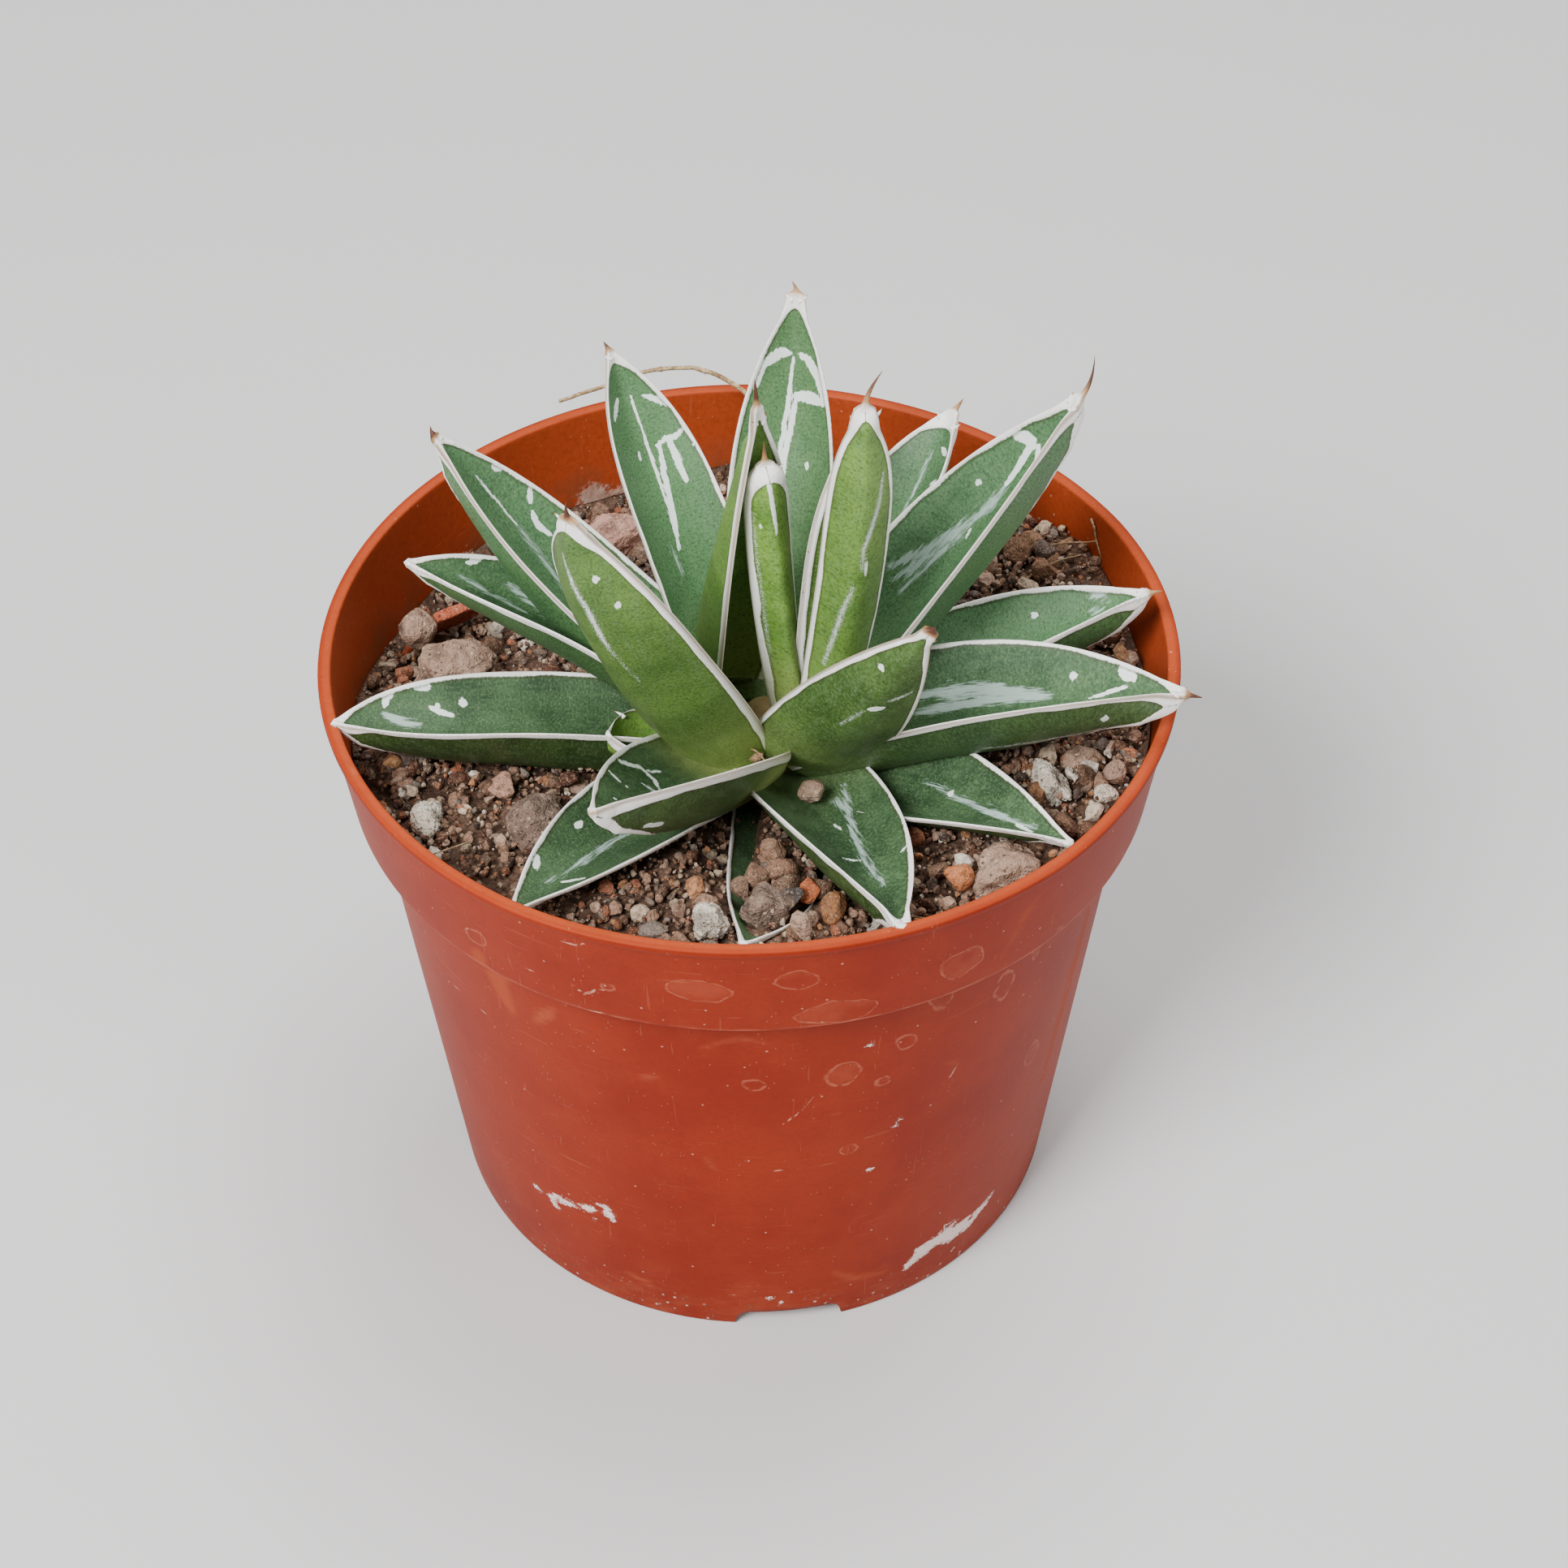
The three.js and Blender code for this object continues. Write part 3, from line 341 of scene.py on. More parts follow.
# Dried water drops: heading, height, radius, and how much taller than wide.
DROPS = (
    (283, 62.6, 2.7, 1.1), (298, 83.4, 3.0, 1.0), (298, 74.4, 1.7, 1.6), (263, 86.5, 4.0, 0.55),
    (281, 80.5, 4.6, 0.5), (310, 68.5, 1.6, 2.2), (316, 75, 1.3, 3.0), (293, 66, 1.7, 0.9),
    (290, 58.5, 1.4, 0.9), (285, 44, 1.5, 0.7), (251, 84.5, 1.2, 0.8), (322, 44, 1.8, 1.3),
    (276, 88.5, 2.8, 0.7), (231, 84, 1.8, 0.8), (270, 62, 1.5, 0.8),
)
# Salt crust on the inner wall: heading, height, reach.
CRUSTS = ((115, 80.6, 3.4), (109, 79.4, 3.0), (99, 82, 2.2), (62, 83, 2.6), (140, 80, 3.0))

# Colours of the grit, and how common each is.
GRAIN_COLOURS = ((158, 122, 102), (124, 92, 74), (182, 150, 130), (168, 102, 74), (208, 184, 158),
                 (90, 76, 70), (140, 126, 116), (190, 132, 92), (106, 66, 52), (232, 220, 204))
GRAIN_SHARES = (0.23, 0.17, 0.15, 0.08, 0.08, 0.08, 0.08, 0.04, 0.05, 0.04)

# Single pebbles and crumbs that stand out: middle from the rim's plane, radius, colour.
PEBBLES = (
    ((37.9, -17, -9.5), 1.7, (112, 74, 52)), ((27.3, -39.1, -7.5), 1.8, (184, 112, 70)),
    ((9, -41.2, -7), 1.7, (96, 70, 56)), ((5.2, -44.1, -6), 1.6, (66, 62, 62)),
    ((10.5, -46.2, -5.6), 2.1, (140, 92, 58)), ((-34, -19.1, -9), 2.2, (186, 142, 122)),
    ((-50, -14.1, -10.4), 2.2, (190, 140, 96)), ((-48, -10.6, -10.6), 1.6, (128, 92, 68)),
    ((53.2, 6.1, -8.8), 1.7, (150, 108, 78)), ((-3.3, -15.5, -5), 0.9, (180, 150, 116)),
    ((-1.4, -16.1, -5), 0.9, (120, 88, 64)), ((0.8, -18.6, -4.6), 0.9, (150, 118, 90)),
    ((44.9, 24.2, -6), 1.9, (118, 84, 62)), ((41.4, 26.5, -5), 1.8, (140, 104, 78)),
    ((50.2, 23.7, -8), 1.9, (100, 72, 56)), ((47, 29.5, -7.6), 1.6, (160, 124, 92)),
    ((48.4, -23.2, -8.4), 1.9, (226, 214, 196)), ((46.6, -26.4, -8.2), 1.5, (206, 186, 164)),
    ((0.4, -39, -6.8), 2.5, (118, 88, 72)), ((3.9, -38.4, -7.1), 2.2, (128, 94, 76)),
    ((-1.2, -41.9, -6.5), 2.2, (112, 86, 72)), ((4.9, -41.6, -6.4), 2.0, (102, 78, 64)),
    ((7.6, -41.8, -6.2), 2.0, (172, 92, 56)), ((2.6, -34.6, -7), 1.9, (136, 104, 84)),
    ((39.2, 25.6, -5.4), 2.2, (112, 80, 60)), ((43.4, 21.4, -6), 2.0, (126, 92, 70)),
)


# ------------------------------------------------------------------ shader sums

def add_node(tree, kind, settings=(), sockets=(), output=0):
    """Adds a node: its settings first, then its sockets by name or number. Gives one output."""
    made = tree.nodes.new(kind)
    for name, value in dict(settings).items():
        if name == "stops":
            ramp = made.color_ramp
            while len(ramp.elements) < len(value):
                ramp.elements.new(0.5)
            for stop, (place, colour) in zip(ramp.elements, value):
                stop.position, stop.color = place, colour
        else:
            setattr(made, name, value)
    for name, value in dict(sockets).items():
        if isinstance(value, Wire):
            tree.links.new(value.socket, made.inputs[name])
        else:
            made.inputs[name].default_value = value
    return Wire(made.outputs[output]) if made.outputs else None


class Wire:
    """A shader socket. Sums of wires and numbers add the Math nodes that work them out."""

    def __init__(self, socket):
        self.socket = socket

    def sum(self, operation, *terms):
        return add_node(self.socket.id_data, "ShaderNodeMath", {"operation": operation},
                        dict(enumerate(terms)))

    def __add__(self, other):
        return self.sum("ADD", self, other)

    def __sub__(self, other):
        return self.sum("SUBTRACT", self, other)

    def __rsub__(self, other):
        return self.sum("SUBTRACT", other, self)

    def __mul__(self, other):
        return self.sum("MULTIPLY", self, other)

    def __truediv__(self, other):
        return self.sum("DIVIDE", self, other)

    __radd__ = __add__
    __rmul__ = __mul__

    def most(self, other):
        """The larger of the two."""
        return self.sum("MAXIMUM", self, other)

    def least(self, other):
        """The smaller of the two."""
        return self.sum("MINIMUM", self, other)

    def rise(self, start, end):
        """0 at start and 1 at end with a smooth step between, or falling where end is lower."""
        return add_node(self.socket.id_data, "ShaderNodeMapRange",
                        {"interpolation_type": "SMOOTHSTEP"},
                        {"Value": self, "From Min": start, "From Max": end})


# Cells start this many metres off, so that no row of them lies on an axis of the pot.
CELL_START = (0.37, 0.53, 0.29)


class Paint:
    """A material in the making; colours and vectors go through Mix and Vector Math."""

    def __init__(self, name):
        self.material = bpy.data.materials.new(name)
        self.material.use_nodes = True
        self.tree = self.material.node_tree
        self.tree.nodes.clear()
        self.where = self.node("ShaderNodeTexCoord", output="Object")

    def node(self, kind, settings=(), sockets=(), output=0):
        return add_node(self.tree, kind, settings, sockets, output)

    def value(self, name):
        return self.node("ShaderNodeAttribute", {"attribute_name": name}, output="Fac")

    def vector(self, name):
        return self.node("ShaderNodeAttribute", {"attribute_name": name}, output="Vector")

    def up(self):
        """The height above the ground in mm."""
        return self.node("ShaderNodeSeparateXYZ", {}, {0: self.where}, 2) * 1000

    def stretched(self, vector, factors):
        return self.node("ShaderNodeVectorMath", {"operation": "MULTIPLY"}, {0: vector, 1: factors})

    def noise(self, size, detail=2.0, rough=0.5, vector=None, twist=0.0):
        """Noise of 0 to 1 whose lumps are about size mm; a vector of its own is in mm."""
        scale = 1000 / size if vector is None else 1 / size
        return self.node("ShaderNodeTexNoise", {}, {
            "Vector": self.where if vector is None else vector, "Scale": scale, "Detail": detail,
            "Roughness": rough, "Distortion": twist})

    def cells(self, size, vector=None, output="Distance"):
        """Voronoi cells about size mm across: distance from the middle, or a colour per cell."""
        scale = 1000 / size if vector is None else 1 / size
        if vector is None:
            vector = self.node("ShaderNodeVectorMath", {"operation": "ADD"}, {
                0: self.where, 1: CELL_START})
        return self.node("ShaderNodeTexVoronoi", {}, {"Vector": vector, "Scale": scale}, output)

    def cells_and_picks(self, size):
        """The distances in Voronoi cells about size mm across, and a random 0 to 1 per cell."""
        picks = self.node("ShaderNodeSeparateColor", {}, {0: self.cells(size, output="Color")}, 0)
        return self.cells(size), picks

    def mix(self, share, first, second):
        """The first colour, and the second one where the share is 1."""
        return self.node("ShaderNodeMix", {"data_type": "RGBA"}, {0: share, 6: first, 7: second}, 2)

    def done(self, colour, roughness, height=None, **constants):
        """Principled surface; height is in mm and becomes a bump."""
        sockets = {"Base Color": colour, "Roughness": roughness}
        if height is not None:
            sockets["Normal"] = self.node("ShaderNodeBump", {}, {
                "Height": height, "Distance": MM, "Strength": 1.0})
        sockets.update({name.replace("_", " "): value for name, value in constants.items()})
        surface = self.node("ShaderNodeBsdfPrincipled", {}, sockets)
        self.node("ShaderNodeOutputMaterial", {}, {"Surface": surface})
        return self.material


def tone(red, green, blue):
    """A screen colour, 0 to 255 a channel, as the linear colour that a shader takes."""
    share = np.array([red, green, blue]) / 255
    linear = np.where(share <= 0.04045, share / 12.92, ((share + 0.055) / 1.055) ** 2.4)
    return (*(float(value) for value in linear), 1.0)


# ------------------------------------------------------------------ numpy shapes

def smooth(value, start=0.0, end=1.0):
    """0 at start, 1 at end and 3s^2 - 2s^3 between them, where s is the share of the way."""
    share = np.clip((value - start) / (end - start), 0, 1)
    return share * share * (3 - 2 * share)


# Large primes that scramble the lattice's whole numbers into random heights.
PRIMES = (73856093, 19349663, 83492791, 1274126177)


def lumps(points, size, seed=0):
    """Noise of -1 to 1: a random height at each corner of a cubic lattice of that size, blended
    inside a cube by the smoothed shares of the way to each corner."""
    where = np.asarray(points, float) / size + 512.37
    cell = np.floor(where).astype(np.int64)
    share = smooth(where - cell)
    total = np.zeros(where.shape[:-1])
    for corner in np.ndindex(2, 2, 2):
        at = cell + np.array(corner)
        mixed = at[..., 0] * PRIMES[0] ^ at[..., 1] * PRIMES[1] ^ at[..., 2] * PRIMES[2] ^ seed * 40503
        mixed = (mixed ^ mixed >> 13) * PRIMES[3] & 0x7FFFFFFF
        height = (mixed >> 8 & 0xFFFF) / 32767.5 - 1
        total += height * np.prod(np.where(corner, share, 1 - share), axis=-1)
    return total


def layered(points, size, layers=4, seed=0):
    """Noise summed over layers, each half the size and half the strength of the one before."""
    return sum(lumps(points, size / 2 ** k, seed + 7 * k) / 2 ** k for k in range(layers))


def closed_skin(rings):
    """A skin over rows of rings, each closed on itself, with a fan to a middle point at both ends.
    Its faces point outwards where ring direction cross row direction does."""
    rows, columns = rings.shape[:2]
    points = np.vstack([rings.reshape(-1, 3), rings[0].mean(0), rings[-1].mean(0)])
    here = np.arange(columns)
    after = (here + 1) % columns
    row = np.arange(rows - 1)[:, None] * columns
    quads = np.stack([row + here, row + after, row + columns + after, row + columns + here], -1)
    last, pole = (rows - 1) * columns, rows * columns
    start = np.stack([0 * here + pole, after, here], -1)
    end = np.stack([last + here, last + after, 0 * here + pole + 1], -1)
    return points, [quads.reshape(-1, 4), start, end]


def with_poles(field):
    """A value or vector per grid point, followed by the mean of the first and of the last row."""
    return np.concatenate([field.reshape(-1, *field.shape[2:]), [field[0].mean(0), field[-1].mean(0)]])


def joined(parts):
    """Several (points, faces, fields) as one."""
    offset = np.cumsum([0] + [len(points) for points, _, _ in parts[:-1]])
    faces = [face + shift for shift, (_, group, _) in zip(offset, parts) for face in group]
    fields = {name: np.concatenate([part[2][name] for part in parts]) for name in parts[0][2]}
    return np.vstack([part[0] for part in parts]), faces, fields


def new_piece(name, points, faces, material, nodes, fields=(), flat=False):
    """Puts points in mm, faces and one value or vector per point into a mesh, and places it."""
    mesh = bpy.data.meshes.new(name)
    corners = np.concatenate([group.ravel() for group in faces]).astype(np.int32)
    sizes = np.concatenate([np.full(len(group), group.shape[1]) for group in faces])
    mesh.vertices.add(len(points))
    mesh.vertices.foreach_set("co", (points * MM).astype(np.float32).ravel())
    mesh.loops.add(len(corners))
    mesh.loops.foreach_set("vertex_index", corners)
    mesh.polygons.add(len(sizes))
    mesh.polygons.foreach_set("loop_start", (np.cumsum(sizes) - sizes).astype(np.int32))
    mesh.update(calc_edges=True)
    mesh.polygons.foreach_set("use_smooth", np.full(len(sizes), not flat))
    for label, values in dict(fields).items():
        kind, key = {1: ("FLOAT", "value"), 3: ("FLOAT_VECTOR", "vector"),
                     4: ("FLOAT_COLOR", "color")}[1 if values.ndim == 1 else values.shape[1]]
        layer = mesh.attributes.new(label, kind, "POINT")
        layer.data.foreach_set(key, values.astype(np.float32).ravel())
    if mesh.validate(verbose=False):
        raise RuntimeError(name + ": the mesh had faults")
    place_mesh(name, mesh, material, nodes)


def place_mesh(name, mesh, material, nodes):
    """Makes a mesh an object of the part, with its material, body and CAD nodes."""
    mesh.materials.append(material)
    piece = bpy.data.objects.new(name, mesh)
    bpy.context.scene.collection.objects.link(piece)
    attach(piece, "root")
    if nodes:
        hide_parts(*nodes)


def turned(points, degrees):
    """Points turned about Z."""
    angle = math.radians(degrees)
    cos, sin = math.cos(angle), math.sin(angle)
    return points @ np.array([[cos, sin, 0], [-sin, cos, 0], [0, 0, 1]])


def rounded_profile(corners, spacing):
    """A line through (radius, height, rounding) corners, each rounded by a quarter-like bend, with
    points no further apart than its spacing. The bend is the parabola between two points that lie
    the rounding's length before and after the corner."""
    corners = np.array(corners, float)
    line = []
    count = len(corners)
    for i in range(count):
        before, at, after = corners[i - 1, :2], corners[i, :2], corners[(i + 1) % count, :2]
        reach = corners[i, 2]
        into = at + (before - at) / np.linalg.norm(before - at) * reach
        out = at + (after - at) / np.linalg.norm(after - at) * reach
        share = np.linspace(0, 1, 5 if reach < 0.5 else 7)[:, None]
        line.append((1 - share) ** 2 * into + 2 * share * (1 - share) * at + share ** 2 * out)
    full = []
    for i in range(count):
        full.append(line[i])
        start, end = line[i][-1], line[(i + 1) % count][0]
        steps = int(np.linalg.norm(end - start) // spacing[i])
        share = np.linspace(0, 1, steps + 2)[1:-1, None]
        full.append(start + (end - start) * share)
    return np.vstack(full)


def nearest_stroke(points, strokes):
    """For each point, the most that any stroke's half width exceeds its distance. A stroke is a
    width and a line, and narrows towards its ends as 0.6 + 0.4 sin(pi s), s along it."""
    best = np.full(len(points), -9.0)
    for width, line in strokes:
        line = np.array(line, float)
        pieces = len(line) - 1
        for i in range(pieces):
            start, step = line[i], line[i + 1] - line[i]
            share = np.clip((points - start) @ step / (step @ step), 0, 1)
            distance = np.linalg.norm(points - start - share[:, None] * step, axis=1)
            half = width / 2 * (0.6 + 0.4 * np.sin(np.pi * (i + share) / pieces))
            best = np.maximum(best, half - distance)
    return best


def smooth_path(points, steps):
    """A centripetal Catmull-Rom curve through the points, with that many steps between each two:
    knots lie the square root of the distance apart, and each point is blended by them."""
    points = np.array(points, float)
    points = np.vstack([2 * points[0] - points[1], points, 2 * points[-1] - points[-2]])
    knots = np.concatenate([[0], np.cumsum(np.linalg.norm(np.diff(points, axis=0), axis=1) ** 0.5)])
    path = []
    for i in range(1, len(points) - 2):
        t = np.linspace(knots[i], knots[i + 1], steps, endpoint=False)[:, None]
        k, p = knots[i - 1:i + 3], points[i - 1:i + 3]
        first = [((k[j + 1] - t) * p[j] + (t - k[j]) * p[j + 1]) / (k[j + 1] - k[j]) for j in range(3)]
        second = [((k[j + 2] - t) * first[j] + (t - k[j]) * first[j + 1]) / (k[j + 2] - k[j])
                  for j in range(2)]
        path.append(((k[2] - t) * second[0] + (t - k[1]) * second[1]) / (k[2] - k[1]))
    return np.vstack([*path, points[-2]])


def tube(path, radius, sides=10):
    """Rings of a radius carried along a path: each ring stands square to the path, on a side
    direction that is carried from step to step with the part along the path taken out."""
    along = np.gradient(path, axis=0)
    along /= np.linalg.norm(along, axis=1)[:, None]
    side = np.cross(along, [0.31, 0.17, 0.94])
    side /= np.linalg.norm(side, axis=1)[:, None]
    up = np.cross(side, along)
    angle = np.linspace(0, 2 * np.pi, sides, endpoint=False)
    ring = side[:, None] * np.cos(angle)[:, None] - up[:, None] * np.sin(angle)[:, None]
    return path[:, None] + ring * np.broadcast_to(radius, len(path))[:, None, None]


# ------------------------------------------------------------------ the leaves

def direction(heading, rise):
    """The unit vector at a heading and a rise above the ground."""
    heading, rise = np.radians(heading), np.radians(rise)
    return np.stack([np.cos(rise) * np.cos(heading), np.cos(rise) * np.sin(heading),
                     np.sin(rise)], -1)


def leaf_frame(leaf, u):
    """Where the midrib runs at share u, with its direction, the direction across the leaf and
    the one out of its upper face. The midrib adds up short steps whose heading and rise turn
    evenly along it, and the two others turn about it by the roll and twist."""
    fine = np.linspace(0, 1, 481)
    middle = (fine[1:] + fine[:-1]) / 2
    steps = direction(leaf["heading"] + leaf["turn"] * middle, leaf["rise"] + leaf["bend"] * middle)
    path = np.vstack([np.zeros(3), np.cumsum(steps * leaf["length"] / 480, axis=0)])
    out = direction(leaf["heading"], 0) * leaf["out"] + [0, 0, leaf["up"]]
    place = np.stack([np.interp(u, fine, path[:, k]) for k in range(3)], -1) + CROWN + out
    place = place + leaf["shift"]
    heading = leaf["heading"] + leaf["turn"] * u
    along = direction(heading, leaf["rise"] + leaf["bend"] * u)
    side = np.stack([np.sin(np.radians(heading)), -np.cos(np.radians(heading)), 0 * u], -1)
    up = np.cross(side, along)
    roll = np.radians(leaf["roll"] + leaf["twist"] * u)[..., None]
    return (place, along, side * np.cos(roll) + up * np.sin(roll),
            up * np.cos(roll) - side * np.sin(roll))


def leaf_half_width(leaf, u):
    """Half width at share u, and how much of it the taper leaves. It swells as a parabola to
    where the leaf is widest, and tapers as 1 - s^blunt from there to the tip."""
    swell = 1 - (1 - leaf["base"]) * (1 - np.minimum(u / leaf["widest"], 1)) ** 2
    left = 1 - np.clip((u - leaf["widest"]) / (1 - leaf["widest"]), 0, 1) ** leaf["blunt"]
    return leaf["width"] / 2 * swell * left, left


def leaf_section(leaf, u, v):
    """Half width, and the depth of both faces at share v of it: the upper face hollows as
    1 - |v|^1.7, and the belly hangs below that as 1 - |v|^k, where k falls from 2.4 to 1.3."""
    half, left = leaf_half_width(leaf, u)
    base, tip = leaf["channel_base"], leaf["channel_tip"]
    above = -(base + (tip - base) * u) * half * (1 - np.abs(v) ** 1.7)
    belly = leaf["thick"] * (1 - 0.75 * u ** 2.5) * np.minimum(1, 3 * left)
    return half, above, above - belly * (1 - np.abs(v) ** (2.4 - 1.1 * u))


def arch(share):
    """0 to 1 as a quarter circle: sqrt(1 - (1 - share)^2)."""
    return np.sqrt(1 - (1 - np.clip(share, 0, 1)) ** 2)


def horn_above(look, half, edge, to_tip, wobble):
    """How far inside the white horny edge a point of the upper face lies, in mm: the horn is as
    wide as its edge part, a little wider near the tip, and takes in the whole cap."""
    wide = look["rim"] * (1 + 0.15 * np.exp(-np.maximum(to_tip, 0) / 5)) + 0.14 * wobble
    top = arch((to_tip - look["cap"]) / 2.2)
    return np.maximum((half - edge) - (half - wide) * top, look["cap"] - to_tip)


def horn_below(look, half, across, to_tip, share, wobble):
    """The same for the underside, where green windows with round tops lie between the edges and
    a white rib that runs down the keel from the cap and narrows, past nothing, to none."""
    wide = look["under"] * (1 + 0.1 * np.exp(-np.maximum(to_tip, 0) / 6)) + 0.12 * wobble
    green = half - wide
    cap = look["cap"] + 0.35 * look["chin"]
    top = arch((to_tip - cap) / 3.6)
    none = -0.7
    rib = (look["rib"] - none) * smooth(share, look["keel"] - 0.12, look["keel"] + 0.1) + none
    middle, window = (rib / 2 + green) / 2, (green - rib / 2) / 2
    single = np.abs(across) - green * top
    double = np.abs(np.abs(across) - middle) - window * top
    return np.where((rib > none + 0.01) & (look["keel"] < 1), double, single)


def shoulder_width(look, to_tip, beyond=0):
    """How much wider than the blade the horn makes the tip: it grows over the last 4 mm, and falls
    off within the first half millimetre of the spine."""
    return look["shoulder"] * smooth(to_tip, 4.0, 0.3) * np.exp(-(beyond / 0.45) ** 2)


def imprint_strokes(name, leaf, kind):
    """The imprints of one kind on a leaf: widths, and lines in mm across and along the leaf."""
    strokes = []
    for what, width, *line in IMPRINTS.get(name, ()):
        if what == kind:
            share, part = np.array(line).T / 100
            across = part * leaf_half_width(leaf, share)[0]
            strokes.append((width, np.stack([across, share * leaf["length"]], -1)))
    return strokes


def leaf_fields(name, leaf, look, u, v, under, half, wide, edge, to_tip):
    """What the skin shows at each point, as values in mm from each edge between two finishes."""
    index = list(LEAVES).index(name)
    across, along = v * half, leaf["length"] - to_tip
    skin = np.stack([across, along, np.full(v.shape, 40.0 * index) + 20 * under], -1)
    wobble = lumps(np.stack([np.sign(v) * 30 + 0 * v, along, 50 * under + 9 * index], -1), 3.2)
    horn = np.where(under, horn_below(look, wide, v * wide, to_tip, u, wobble),
                    horn_above(look, wide, edge, to_tip, wobble))
    fields = {"horn": np.clip(np.where(to_tip < 0, 2, horn), -3, 2), "edge": edge,
              "under": under * 1.0, "skin": skin}
    flat = np.stack([across.ravel(), along.ravel()], -1)
    for label, kinds in {"mark": {"upper": 0, "under": 1}, "veil": {"veil": 0},
                         "powder": {"powder": 1}}.items():
        best = np.full(flat.shape[0], -9.0)
        for kind, face in kinds.items():
            strokes = imprint_strokes(name, leaf, kind)
            if strokes:
                found = nearest_stroke(flat, strokes)
                best = np.where(under.ravel() == face, np.maximum(best, found), best)
        fields[label] = best.reshape(v.shape)
    fields["pale"] = look["pale"] * smooth(u, 0.5, 0.02) + 0 * v
    dry = smooth(to_tip, 0.9, -0.75 * leaf["spine"])
    fields["dry"] = np.where(to_tip < 1, dry, 0) * look["dried"]
    for label, key in {"fresh": "fresh", "brown": "tone", "bloom": "bloom"}.items():
        fields[label] = look[key] + 0 * v
    return fields


def leaf_tooth(leaf, look, tooth):
    """A horn tooth on the leaf's edge: a cone of radius (1 - s)^0.8 whose path starts inside the
    edge and bends from outwards to forwards."""
    side, share, length = tooth
    u = np.array([share])
    place, along, across, normal = (value[0] for value in leaf_frame(leaf, u))
    inside, sides = 0.75, 8
    s = np.linspace(0, 1, 9)[:, None]
    half = leaf_half_width(leaf, u)[0][0] + shoulder_width(look, (1 - share) * leaf["length"])
    start = place + across * side * (half - inside) - normal * 0.1
    path = start + (inside + length) * (across * side * (s - 0.3 * s * s) + along * 0.75 * s ** 1.6)
    radius = 0.34 * (1 - s[:, 0]) ** 0.8 * min(1, 0.6 + 0.4 * length) + 0.02
    points, faces = closed_skin(tube(path, radius, sides))
    reach = with_poles(np.repeat(s, sides, axis=1))
    plain = {label: np.full(len(points), value) for label, value in dict(
        horn=2.0, edge=0.5, under=0.0, mark=-9.0, veil=-9.0, powder=-9.0, fresh=0, pale=0, bloom=0,
        brown=look["tone"] * 0.8).items()}
    plain["dry"] = smooth(reach, 0.55, 1.15)
    plain["skin"] = points - place
    return points, faces, plain


def leaf_parts(name, rim, rows):
    """A leaf with its spine and teeth. The blade's section is the upper face one way and the
    underside back, both swollen by a small round edge and by the horn, and the same rings go on
    along the spine as a circle that shrinks to its point."""
    leaf, look = LEAVES[name], {**PLAIN, "rim": rim, **SKINS[name]}
    blade = 1 - (1 - np.linspace(0, 1, rows)) ** 1.5
    reach = np.linspace(0, 1, 15)[1:] * leaf["spine"]
    u = np.concatenate([blade, np.ones(len(reach))])
    beyond = np.concatenate([0 * blade, reach])
    to_tip = (1 - u) * leaf["length"] - beyond
    place, along, across, normal = leaf_frame(leaf, u)
    bend = (beyond ** 2 / leaf["spine"] * 0.5)[:, None]
    place = place + along * beyond[:, None] + bend * (across * look["hook"][0]
                                                     + normal * look["hook"][1])
    place = place - normal * (0.3 * smooth(to_tip, 5, 0))[:, None]
    top, back = np.linspace(-1, 1, 55), np.linspace(1, -1, 43)[1:-1]
    turn = np.concatenate([top, back])
    v = 0.4 * turn + 0.6 * np.sin(np.pi / 2 * turn)
    under = np.concatenate([0 * top, 0 * back + 1])
    share, part, below_edge, ahead = np.broadcast_arrays(u[:, None], v, under > 0, to_tip[:, None])
    half, above, below = leaf_section(leaf, share, part)
    round_edge = 0.13 + 0.35 * smooth(ahead, 4.5, 0)
    left = np.clip(1 - beyond / leaf["spine"], 0, 1)[:, None]
    round_edge = round_edge * (0.06 + 0.94 * left ** 0.85)
    wide = np.hypot(half, round_edge) + shoulder_width(look, ahead, beyond[:, None])
    edge = wide * (1 - np.abs(part))
    fields = leaf_fields(name, leaf, look, share, part, below_edge, half, wide, edge, ahead)
    soft = arch(edge / np.minimum(wide, 0.34))
    raised = 0.26 * smooth(fields["horn"], -0.1, 0.22) * smooth(ahead, 0, 3)
    thickness = (round_edge + raised) * soft
    ripple = 0.2 * lumps(fields["skin"] * [1, 0.6, 1], 7.0) + 0.07 * lumps(fields["skin"], 2.3)
    ripple = ripple * smooth(edge, 0, 2.0) * smooth(ahead, 0, 6)
    chin = look["chin"] * smooth(ahead, 11, 1.5) * smooth(ahead, -1.2, 1.0) * (1 - np.abs(part) ** 1.4)
    depth = np.where(below_edge, below - thickness - chin, above + thickness) + ripple
    rings = (place[:, None] + across[:, None] * (wide * part)[..., None]
             + normal[:, None] * depth[..., None])
    fields = {label: with_poles(values) for label, values in fields.items()}
    return joined([(*closed_skin(rings), fields)]
                  + [leaf_tooth(leaf, look, tooth) for tooth in look["teeth"]])


